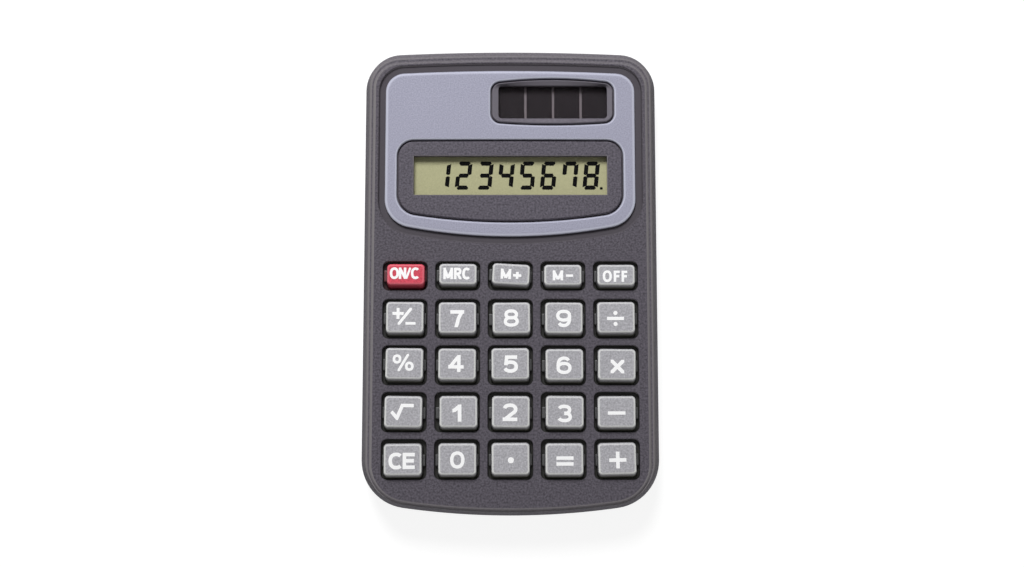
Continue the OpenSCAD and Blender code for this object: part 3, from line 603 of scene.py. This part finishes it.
def underside(s, seam, wells, window, funnel):
    """Lap relief, deck, key bay, and the seats of the lens and the solar glass."""
    relief = WALL - LAP - FIT
    inner = [(relief, SEAM), (relief, LEAN_Z), (WALL, LEAN_Z), (WALL + DECK_IN, DECK_Z)]
    inner = [s.loop(case_outline(inset), z) for inset, z in inner]
    s.strip(seam, *inner)
    bay = [s.loop(outline(BAY), z) for z in (DECK_Z, SKIN_Z)]
    s.strip(*bay)
    s.fill(bay[1], wells)
    lens = rounded(0, WINDOW_Y, GLASS_W + 2 * FIT, GLASS_L + 2 * FIT, LENS_CORNER)
    lens = [s.loop(lens, z) for z in (DECK_Z, LIP_Z)]
    s.strip(*lens)
    s.fill(lens[1], [window])
    cell = solar_window(SOLAR_COVER + FIT, CELL_CORNER)
    cell = [s.loop(cell, z) for z in (DECK_Z, SOLAR_SEAT_Z)]
    s.strip(*cell, funnel)
    s.fill(inner[-1], [bay[0], lens[0], cell[0]])


def front_case():
    """Front shell, with its faces in the order of its five materials, all with painted highlight, light or
    shade.
    """
    s = Shell()
    rim, window, groove = rim_loops(s), window_loops(s), groove_loops(s)
    wells = [well_loops(s, name) for row in KEYS for name in row]
    bank = [s.loop(outline(GROOVE, -GROOVE_W - growth), z) for growth, z in lip(GROOVE_EDGE)]
    bezel, ring = bezel_loops(s, bezel_outline, BEZEL_EDGE), bezel_loops(s, ring_outline, RING_EDGE)
    funnel = solar_window(0.0, FUNNEL_CORNER, FUNNEL_SIDE, FUNNEL_NEAR)
    funnel = [s.loop(funnel, z) for z in (SLOPE_Z, SOLAR_SEAT_Z)]
    # side, rim, face and underside
    s.strip(*rim)
    s.fill(rim[-1], [*(loops[0] for loops in wells), bank[0]])
    s.strip(*window)
    underside(s, rim[0], [loops[-1] for loops in wells], window[-1], funnel[-1])
    # groove and the feet of the bezels, in a darker copy of the case plastic that paints the recess's shade
    s.next_material()
    s.strip(*bank, *groove)
    s.strip(*bezel[:2])
    s.strip(*ring[:2])
    s.fill(groove[-1], [bezel[0], ring[0]])
    # solar bezel with its sloped funnel, in a lighter copy of the case plastic that paints light, with a
    # painted highlight
    s.next_material()
    s.strip(*ring[1:], *funnel)
    # walls of the wells, with painted shade deep down and painted light on walls towards the near end
    s.next_material()
    for loops in wells:
        s.strip(*loops)
    # edge and face of the display bezel, in a slightly lighter copy of the case plastic that paints light on
    # it
    s.next_material()
    s.strip(*bezel[1:])
    s.fill(bezel[-1], [window[0]])
    shell_materials = (CASE_MAT, GROOVE_MAT, RING_MAT, WELL_MAT, BEZEL_MAT)
    s.piece("front_shell", shell_materials, "case", "front_case", "case_plastic")


# Rear cover
def rear_cover():
    """Rear shell with its lap joint and the four screw posts."""
    s = Shell()
    section = [(BACK_IN * (1 - sin(a)), BACK_H * (1 - cos(a))) for a in quarter(BACK_STEPS)]
    section += [(0.0, SEAM - SEAM_H), (SEAM_IN, SEAM), (LAP, SEAM), (LAP, LAP_Z - TONGUE_BEVEL)]
    section += [(LAP + TONGUE_BEVEL, LAP_Z), (WALL, LAP_Z), (WALL, FLOOR_Z)]
    loops = [s.loop(case_outline(inset), z) for inset, z in section]
    s.strip(*loops)
    hole = [(HEAD_HOLE_R + HOLE_BEVEL, 0.0), (HEAD_HOLE_R, HOLE_BEVEL), (HEAD_HOLE_R, HEAD_HOLE_H)]
    hole += [(SHANK_HOLE_R, HEAD_HOLE_H), (SHANK_HOLE_R, POST_Z), (POST_R, POST_Z), (POST_R, FLOOR_Z)]
    posts = []
    for x, y in POSTS:
        posts.append([s.loop(circle(x, y, r), z) for r, z in hole])
        s.strip(*posts[-1])
    s.fill(loops[0], [post[0] for post in posts])
    s.fill(loops[-1], [post[-1] for post in posts])
    s.piece("back_shell", (COVER_MAT,), "case", "rear_cover", "cover_plastic")


# Display panel
def display_panel():
    """Panel plate with a rounded edge and two holes for the bezels."""
    s = Shell()
    section = [(0.0, RECESS_Z), *fillet(0.0, CASE_H - PANEL_EDGE_H, PANEL_EDGE_IN, PANEL_EDGE_H, steps=10)]
    outer = [s.loop(outline(PANEL, inset, PANEL_SIDE), z) for inset, z in section]
    s.strip(*outer)
    holes = []
    for shape in (bezel_outline, ring_outline):
        edge = (*lip(PANEL_HOLE_EDGE, steps=6), (0.0, RECESS_Z))
        holes.append([s.loop(shape(-growth), z) for growth, z in edge])
        s.strip(*holes[-1])
    s.fill(outer[-1], [hole[0] for hole in holes])
    s.fill(outer[0], [hole[-1] for hole in holes])
    s.piece("silver_panel", (PANEL_MAT,), "case", "display_panel", "panel_paint")


# Keys, each a little loose in its well: shift to the side, turn in degrees, and shift towards an end
SIDES = {
    "on_clear": 0.2, "memory_recall": 0.08, "memory_plus": 0.13,
    "sign_change": 0.08, "7": 0.0, "8": 0.22, "9": 0.13,
    "percent": 0.05, "4": -0.02, "6": 0.19, "multiply": 0.03,
    "square_root": -0.07, "1": 0.3, "2": 0.1, "3": 0.22, "subtract": -0.08,
    "clear_entry": -0.09, "0": 0.12, "equals": 0.1, "add": -0.06,
}
TURNS = {
    "memory_plus": -3.2, "8": 0.5, "percent": -0.7, "5": 0.4, "multiply": -0.6,
    "square_root": -0.8, "add": 1.2,
}
HIGH_KEYS = (
    "memory_recall", "memory_plus", "sign_change", "divide", "percent", "5", "3", "decimal_point", "add",
)
LOW_KEYS = ("memory_minus", "off", "6", "multiply", "clear_entry")
RISES = {**dict.fromkeys(HIGH_KEYS, 0.08), **dict.fromkeys(LOW_KEYS, -0.09)}
ROW_SAGS = (0.02, 0.09, 0.0, 0.16, 0.14)
LOOSE_TURN, LOOSE_SIDE, LOOSE_END = 0.5, 0.06, 0.03


def key_place(name, x, y, sag):
    """Place of a key that hangs low in its well, to one side and slightly turned."""
    turn = TURNS.get(name, random.uniform(-LOOSE_TURN, LOOSE_TURN))
    side = SIDES.get(name, random.uniform(-LOOSE_SIDE, LOOSE_SIDE))
    end = random.uniform(-LOOSE_END, LOOSE_END) - sag + RISES.get(name, 0.0)
    return Matrix.Translation(Vector((x + side, y + end, 0))) @ Matrix.Rotation(radians(turn), 4, "Z")


def cap_loops(s, w, l):
    """Loops of a cap's side and rounded edge. The near side leans back as it rises."""
    section = [(KEY_FOOT, SKIN_Z - FLANGE_PLAY), (FACE_DRAFT, CASE_H)]
    section += fillet(KEY_DRAFT, TOP_Z - KEY_EDGE_H, KEY_EDGE_IN, KEY_EDGE_H, steps=6)
    loops = []
    for inset, z in section:
        lean = (KEY_LEAN + KEY_FLARE) * (z - SKIN_Z) / (KEY_TOP - SKIN_Z) - KEY_FLARE
        corner = max(KEY_CORNER - KEY_CORNER_FADE * inset, KEY_CORNER_LEAST)
        loops.append(s.loop(rounded(0, lean / 2, w - 2 * inset, l - 2 * inset - lean, corner), z))
    return loops


def guide_nub(s, x):
    """Small bevelled block at the middle of a key's side."""
    section = [(0.0, SKIN_Z), *((inset, CASE_H - NUB_DEPTH - depth) for inset, depth in NUB_BEVEL)]
    loops = []
    for inset, z in section:
        loops.append(s.loop(rounded(x, 0, NUB_W - 2 * inset, NUB_L - 2 * inset, NUB_R), z))
    s.strip(*loops)
    s.fill(loops[0])
    s.fill(loops[-1])


def key_cap(name, well_w, well_l, place, drift):
    """Key cap with its flange. Its nubs are centred in the well, from which the cap has drifted."""
    s = Shell()
    w, l = well_w - 2 * SIDE_GAP, well_l - 2 * END_GAP
    flange = rounded(0, 0, well_w + 2 * FLANGE_OUT, well_l + 2 * FLANGE_OUT, WELL_R)
    flange = [s.loop(flange, z) for z in (KEY_Z, SKIN_Z - FLANGE_PLAY)]
    side = cap_loops(s, w, l)
    s.strip(*flange, *side)
    s.fill(flange[0])
    s.fill(side[-1])
    # the nubs, in a darker copy of the key plastic that paints the gap's shade
    s.next_material()
    for sign in (-1, 1):
        guide_nub(s, sign * (w / 2 - NUB_SUNK) - drift)
    node = "key_" + name
    if name == "on_clear":
        s.piece("cap_" + name, (RED_MAT, RED_NUB), node, node, "key_red", place)
    else:
        s.piece("cap_" + name, (KEY_MAT, KEY_NUB), node, node, "key_grey", place)


# Legends, drawn as strokes in a unit box
def oval(cx, cy, rx, ry, start, end, steps=20, power=2.3):
    """Points of a slightly squared oval."""
    points = []
    for i in range(steps + 1):
        a = radians(start + (end - start) * i / steps)
        c, d = cos(a), sin(a)
        x = abs(c) ** (2 / power) * (1 if c >= 0 else -1)
        y = abs(d) ** (2 / power) * (1 if d >= 0 else -1)
        points.append((cx + rx * x, cy + ry * y))
    return points


def oval_ring(cx, cy, rx, ry):
    """Two strokes that close an oval."""
    return [oval(cx, cy, rx, ry, -91, 91), oval(cx, cy, rx, ry, 89, 271)]


def turned(strokes):
    """Strokes turned by half a turn."""
    return [[(1 - x, 1 - y) for x, y in stroke] for stroke in strokes]


def level(y, start=-0.2, end=1.2):
    """Level stroke, which is cut off at the box."""
    return [(start, y), (end, y)]


def upright(x):
    """Upright stroke, which is cut off at the box."""
    return [(x, -0.2), (x, 1.2)]


SIX = [*oval_ring(0.5, 0.31, 0.5, 0.31), oval(0.5, 0.5, 0.5, 0.5, 190, 40)]
SLASH = [(-0.3, -0.3), (1.3, 1.3)]
GLYPHS = {
    "0": oval_ring(0.5, 0.5, 0.5, 0.5),
    "1": [upright(1.0), [(-0.6, 0.66), (0.1, 0.72), (1.0, 1.04)]],
    "2": [[*oval(0.5, 0.71, 0.5, 0.29, 168, -28), (0.62, 0.36), (0.2, 0.1), (0.0, -0.12)], level(0.0)],
    "3": [oval(0.48, 0.745, 0.46, 0.255, 158, -88), oval(0.5, 0.26, 0.5, 0.26, 92, -160)],
    "4": [upright(0.74), level(0.25), [(0.66, 0.98), (0.0, 0.25)]],
    "5": [level(1.0, 0.12, 1.1), [(0.16, 1.12), (0.06, 0.42)], oval(0.48, 0.32, 0.52, 0.32, 142, -160)],
    "6": SIX,
    "7": [level(1.0), [(0.98, 1.05), (0.62, 0.5), (0.38, -0.2)]],
    "8": [*oval_ring(0.5, 0.755, 0.44, 0.245), *oval_ring(0.5, 0.265, 0.5, 0.265)],
    "9": turned(SIX),
    "O": oval_ring(0.5, 0.5, 0.5, 0.5),
    "N": [upright(0.0), upright(1.0), [(-0.1, 1.15), (1.1, -0.15)]],
    "M": [upright(0.0), upright(1.0), [(-0.06, 1.1), (0.5, -0.02)], [(1.06, 1.1), (0.5, -0.02)]],
    "C": [oval(0.52, 0.5, 0.52, 0.5, 46, 314, steps=30)],
    "R": [
        upright(0.0), [(0.45, 0.5), (1.1, -0.2)],
        [(0.0, 1.0), (0.5, 1.0), *oval(0.5, 0.74, 0.46, 0.26, 88, -88), (0.5, 0.48), (0.0, 0.48)],
    ],
    "F": [upright(0.0), level(1.0), level(0.5, 0.0, 1.1)],
    "E": [upright(0.0), level(1.0), level(0.51, 0.0, 1.1), level(0.0)],
    "slash": [SLASH],
    "plus": [level(0.5), upright(0.5)],
    "minus": [level(0.5)],
    "times": [SLASH, [(-0.3, 1.3), (1.3, -0.3)]],
    "root": [[(-0.05, 0.52), (0.24, 0.02), (0.5, 1.0), (1.2, 1.0)]],
    "equals": [level(1.0), level(0.0)],
}

# Signs of each legend: glyph, centre x, centre y, width, height and stroke, relative to the key
LEGENDS = {
    "on_clear": (
        ("O", -2.18, 0.38, 1.9, 2.45, 0.53), ("N", -0.48, 0.38, 1.55, 2.35, 0.53),
        ("slash", 0.7, 0.38, 1.15, 2.35, 0.45), ("C", 2.17, 0.38, 1.85, 2.45, 0.53),
    ),
    "memory_recall": (
        ("M", -1.84, 0.25, 2.0, 2.4, 0.54), ("R", 0.16, 0.25, 1.6, 2.4, 0.54),
        ("C", 1.96, 0.25, 1.8, 2.5, 0.54),
    ),
    "memory_plus": (("M", -0.87, 0.14, 2.15, 2.1, 0.55), ("plus", 1.48, -0.06, 1.75, 1.6, 0.54)),
    "memory_minus": (("M", -0.85, 0.05, 2.15, 2.1, 0.55), ("minus", 1.55, 0.0, 1.6, 0.5, 0.54)),
    "off": (
        ("O", -1.65, -0.13, 1.9, 2.45, 0.52), ("F", 0.35, -0.13, 1.35, 2.35, 0.52),
        ("F", 1.95, -0.13, 1.3, 2.35, 0.52),
    ),
    "sign_change": (
        ("plus", -1.21, 0.94, 2.3, 2.3, 0.62), ("slash", 0.19, 0.34, 2.9, 3.5, 0.6),
        ("minus", 1.39, -1.11, 2.1, 0.55, 0.55),
    ),
    "divide": (
        ("minus", 0.04, -0.07, 3.5, 0.66, 0.71), ("dot", 0.04, 1.07, 0.85, 0.85, 0),
        ("dot", 0.04, -1.21, 0.85, 0.85, 0),
    ),
    "percent": (
        ("O", -1.3, 1.08, 1.8, 1.9, 0.55), ("O", 1.25, -0.37, 1.8, 1.9, 0.55),
        ("slash", 0.0, 0.36, 2.3, 3.6, 0.54),
    ),
    "multiply": (("times", 0.29, -0.26, 2.8, 2.8, 0.76),),
    "square_root": (("root", -0.02, 0.12, 4.7, 3.35, 0.71),),
    "subtract": (("minus", 0.16, -0.08, 3.6, 0.68, 0.74),),
    "clear_entry": (("C", -1.17, -0.11, 3.05, 3.4, 0.74), ("E", 1.44, -0.11, 2.5, 3.3, 0.74)),
    "decimal_point": (("dot", 0.24, -0.12, 1.25, 1.25, 0),),
    "equals": (("equals", 0.29, -0.21, 3.5, 1.9, 0.71),),
    "add": (("plus", 0.28, -0.1, 3.5, 3.4, 0.74),),
    "0": (("0", 0.19, 0.02, 2.95, 3.5, 0.7),),
    "1": (("1", -0.11, -0.12, 1.85, 3.5, 0.76),),
    "2": (("2", 0.03, 0.06, 3.0, 3.6, 0.74),),
    "3": (("3", 0.11, -0.22, 3.05, 3.6, 0.7),),
    "4": (("4", -0.03, 0.28, 3.15, 3.5, 0.71),),
    "5": (("5", 0.26, 0.07, 3.0, 3.6, 0.74),),
    "6": (("6", 0.09, 0.0, 3.1, 3.6, 0.68),),
    "7": (("7", 0.15, -0.07, 2.85, 3.55, 0.74),),
    "8": (("8", 0.15, 0.11, 3.1, 3.6, 0.67),),
    "9": (("9", 0.12, 0.03, 3.1, 3.6, 0.68),),
}

# Strokes: shortest step, limit of the mitres and steps of a dot
SAME_STEP, MITRE_LEAST, DOT_STEPS = 1e-9, 0.4, 24


def widened(points, t):
    """Polygon of a stroke of thickness t along a line of points, with mitred joints."""
    left, right = [], []
    for i, (x, y) in enumerate(points):
        ends = [(points[max(i - 1, 0)], points[i]), (points[i], points[min(i + 1, len(points) - 1)])]
        normals = []
        for (x0, y0), (x1, y1) in ends:
            n = hypot(x1 - x0, y1 - y0)
            if n > SAME_STEP:
                normals.append(((y0 - y1) / n, (x1 - x0) / n))
        nx, ny = sum(n[0] for n in normals), sum(n[1] for n in normals)
        n = hypot(nx, ny)
        nx, ny = nx / n, ny / n
        reach = t / 2 / max(nx * normals[0][0] + ny * normals[0][1], MITRE_LEAST)
        left.append((x + nx * reach, y + ny * reach))
        right.append((x - nx * reach, y - ny * reach))
    return left + right[::-1]


def clipped(polygon, w, l):
    """The polygon cut off at a box of that size about the origin."""
    for axis, sign, limit in ((0, 1, w / 2), (0, -1, w / 2), (1, 1, l / 2), (1, -1, l / 2)):
        kept = []
        for a, b in zip(polygon, polygon[1:] + polygon[:1]):
            da, db = limit - sign * a[axis], limit - sign * b[axis]
            if da >= 0:
                kept.append(a)
            if (da > 0 > db) or (da < 0 < db):
                share = da / (da - db)
                kept.append((a[0] + (b[0] - a[0]) * share, a[1] + (b[1] - a[1]) * share))
        polygon = kept
    return polygon


def glyph_polygons(glyph, w, l, t):
    """Polygons of a glyph in a box about the origin. The strokes' outer edges touch the box."""
    if glyph == "dot":
        return [circle(0, 0, w / 2, DOT_STEPS)]
    polygons = []
    for stroke in GLYPHS[glyph]:
        line = [((x - 0.5) * (w - t), (y - 0.5) * (l - t)) for x, y in stroke]
        polygons.append(clipped(widened(line, t), w, l))
    return polygons


def moved(points, dx, dy):
    """Points moved by a distance."""
    return [(x + dx, y + dy) for x, y in points]


def plate(polygons, low, high):
    """Thin closed plate that covers the union of the polygons."""
    s = Shell()
    points, faces = [], []
    for polygon in polygons:
        area = sum(x0 * y1 - x1 * y0 for (x0, y0), (x1, y1) in zip(polygon, polygon[1:] + polygon[:1]))
        faces.append(list(range(len(points), len(points) + len(polygon))))
        points += [Vector(p) for p in (polygon if area > 0 else polygon[::-1])]
    found = delaunay_2d_cdt(points, [], faces, TRIANGLES_OF_FACES, SAME_STROKE_POINT)
    coords, tris, covered = found[0], found[2], found[5]
    tris = [list(t) for t, of in zip(tris, covered) if of]
    flat = [tuple(c) for c in coords]
    base, top = s.loop(flat, low), s.loop(flat, high)
    count = {}
    for tri in tris:
        s.faces.append([top[i] for i in tri])
        s.faces.append([base[i] for i in reversed(tri)])
        for a, b in zip(tri, tri[1:] + tri[:1]):
            count[frozenset((a, b))] = count.get(frozenset((a, b)), 0) + 1
    for tri in tris:
        for a, b in zip(tri, tri[1:] + tri[:1]):
            if count[frozenset((a, b))] == 1:
                s.faces.append((base[a], base[b], top[b], top[a]))
    used = sorted({i for face in s.faces for i in face})
    order = {old: new for new, old in enumerate(used)}
    s.verts = [s.verts[i] for i in used]
    s.faces = [[order[i] for i in face] for face in s.faces]
    return s


def key_legend(name, place):
    """Legend on a key's top."""
    polygons = []
    for glyph, cx, cy, w, l, t in LEGENDS[name]:
        polygons += [moved(polygon, cx + LEGEND_SIDE, cy) for polygon in glyph_polygons(glyph, w, l, t)]
    legend = plate(polygons, TOP_Z - LEGEND_SUNK, KEY_TOP - LEGEND_DEPTH)
    legend.piece("legend_" + name, (INK_MAT,), "key_" + name, place=place)


# Display digits: half their width and height between the segments' centres, half a segment's thickness, lean
DIGIT_W, DIGIT_L, SEGMENT_T, DIGIT_LEAN = 1.18, 2.57, 0.44, 0.095

# First digit's place, pitch and rise above the window's middle. The point's place, size and corner.
DIGIT_X, DIGIT_PITCH, DIGIT_RISE = -14.34, 4.483, 0.16
POINT_X, POINT_DROP, POINT_W, POINT_L, POINT_R = 19.15, 2.58, 0.6, 0.52, 0.15

# How far the segments reach below and above the polariser's face
SEGMENT_LOW, SEGMENT_HIGH = 0.015, 0.005

# Cuts at the segments' ends: level ones outside and inside, the middle one, and the upright ones
TIP, TIP_Y, OUTER_CUT, INNER_CUT = 0.05, 0.1, 0.22, 0.34
BAR_TIP, BAR_CUT = 0.12, 0.36
SPLIT_OUTER, SPLIT_TIP, SPLIT_GAP = 0.3, 0.12, 0.08

# Segments of each digit that is shown, from the left
SHOWN = ("bc", "abged", "abgcd", "fgbc", "afgcd", "afgedc", "fabc", "abcdefg")


def segments():
    """The eight digits and the point, dark on the polariser's face."""
    w, l, t = DIGIT_W, DIGIT_L, SEGMENT_T

    def both_ends(right):
        return right + [(-x, y) for x, y in right[::-1]]

    def flipped(points, sx, sy):
        return [(x * sx, y * sy) for x, y in points]

    across = both_ends([(w - OUTER_CUT, t), (w + TIP, TIP_Y), (w - INNER_CUT, -t)])
    bar = both_ends([(w - BAR_CUT, t), (w - BAR_TIP, 0), (w - BAR_CUT, -t)])
    post = [(t, l - SPLIT_GAP), (t, SPLIT_OUTER), (0, SPLIT_TIP)]
    post += [(-t, INNER_CUT), (-t, l - INNER_CUT - SPLIT_GAP)]
    parts = {
        "a": moved(across, 0, l), "g": bar, "d": moved(flipped(across, 1, -1), 0, -l),
        "b": moved(post, w, 0), "c": moved(flipped(post, 1, -1), w, 0),
        "f": moved(flipped(post, -1, 1), -w, 0), "e": moved(flipped(post, -1, -1), -w, 0),
    }
    polygons = []
    for i, on in enumerate(SHOWN):
        for part in on:
            leaning = [(x + DIGIT_LEAN * y, y) for x, y in parts[part]]
            polygons.append(moved(leaning, DIGIT_X + DIGIT_PITCH * i, WINDOW_Y + DIGIT_RISE))
    polygons.append(rounded(POINT_X, WINDOW_Y - POINT_DROP, POINT_W, POINT_L, POINT_R, steps=3))
    digits = plate(polygons, FILM_Z - SEGMENT_LOW, FILM_Z + SEGMENT_HIGH)
    digits.piece("display_digits", (SEGMENT_MAT,), "case")


front_case()
rear_cover()
display_panel()
for row, sag in zip(KEYS, ROW_SAGS):
    for name in row:
        x, y, w, l = well(name)
        place = key_place(name, x, y, sag)
        key_cap(name, w, l, place, place.translation.x - x)
        key_legend(name, place)
segments()

# Floor, light and camera, in metres
FLOOR_HALF, FLOOR_DROP, FLOOR_GREY, FLOOR_ROUGH = 3.0, 0.00002, 0.24, 0.9

# White that camera rays see on the floor: its amount near the object and far away, and where it rises
WHITE_NEAR, WHITE_FAR, WHITE_START, WHITE_END = 0.87, 1.0, 0.15, 1.0
SKY_LIGHT, SKY_WHITE = 0.14, 1.0

# Lamps: name, place, diameter and power in watts
LAMPS = (
    ("key_light", (-0.0975, 0.472, 0.507), 0.31, 5.3),
    ("fill_light", (0.2, -0.62, 0.3), 0.7, 0.7),
)

# Camera: the point that it looks at, its tilt from straight above in radians, distance, sensor and lens
CAMERA_AIM, CAMERA_TILT, CAMERA_DISTANCE = Vector((0.000343, -0.001405, 0.01)), 0.127156, 0.3
SENSOR_W, LENS, CLIP_START = 36.0, 50.743, 0.01


def seen_directly(graph):
    """1 for rays from the camera, a glossy surface or glass, and 0 for light that falls on things."""
    path = graph.node("LightPath")
    either = graph.math("MAXIMUM", path["Is Camera Ray"], path["Is Glossy Ray"])
    return graph.math("MAXIMUM", either, path["Is Transmission Ray"])


def floor_material():
    """Grey floor that keeps the object's shadow, with a white added that lights nothing."""
    m = bpy.data.materials.new("floor_white")
    graph = Graph(m)
    shader, output = m.node_tree.nodes["Principled BSDF"], m.node_tree.nodes["Material Output"]
    grey = (FLOOR_GREY, FLOOR_GREY, FLOOR_GREY, 1)
    graph.feed(shader, {"Base Color": grey, "Roughness": FLOOR_ROUGH, "Specular IOR Level": 0.0})
    reach = graph.node("VectorMath", {0: graph.node("TexCoord")["Object"]}, "LENGTH")["Value"]
    white = graph.span(reach, WHITE_START, WHITE_END, WHITE_NEAR, WHITE_FAR)
    glow = graph.node("Emission", {"Strength": graph.math("MULTIPLY", seen_directly(graph), white)})[0]
    graph.feed(output, {"Surface": graph.node("AddShader", {0: shader.outputs[0], 1: glow})[0]})
    return m


def floor_plane():
    """Plain floor just under the object."""
    corners = [(x * FLOOR_HALF, y * FLOOR_HALF, 0) for x, y in ((-1, -1), (1, -1), (1, 1), (-1, 1))]
    mesh = bpy.data.meshes.new("floor")
    mesh.from_pydata(corners, [], [(0, 1, 2, 3)])
    mesh.materials.append(floor_material())
    floor = bpy.data.objects.new("floor", mesh)
    floor.location.z = -FLOOR_DROP
    bpy.context.scene.collection.objects.link(floor)


def sky():
    """White world that gives little light."""
    world = bpy.data.worlds.new("studio")
    bpy.context.scene.world = world
    graph = Graph(world)
    strength = graph.span(seen_directly(graph), 0.0, 1.0, SKY_LIGHT, SKY_WHITE)
    graph.feed(world.node_tree.nodes["Background"], {"Color": (1, 1, 1, 1), "Strength": strength})


def lamps():
    """Round soft lamps that point at the object."""
    for name, place, size, power in LAMPS:
        data = bpy.data.lights.new(name, "AREA")
        data.shape = "DISK"
        data.size = size
        data.energy = power
        lamp = bpy.data.objects.new(name, data)
        lamp.location = place
        lamp.rotation_euler = (-Vector(place)).to_track_quat("-Z", "Y").to_euler()
        bpy.context.scene.collection.objects.link(lamp)


def camera():
    """Camera above the keys, tilted towards the near end."""
    data = bpy.data.cameras.new("camera")
    data.sensor_width = SENSOR_W
    data.lens = LENS
    data.clip_start = CLIP_START
    data.dof.use_dof = False
    obj = bpy.data.objects.new("camera", data)
    obj.location = CAMERA_AIM + Vector((0, -sin(CAMERA_TILT), cos(CAMERA_TILT))) * CAMERA_DISTANCE
    obj.rotation_euler = (CAMERA_TILT, 0, 0)
    bpy.context.scene.collection.objects.link(obj)
    bpy.context.scene.camera = obj


floor_plane()
sky()
lamps()
camera()
bpy.context.scene.view_settings.view_transform = "Standard"
bpy.context.view_layer.update()
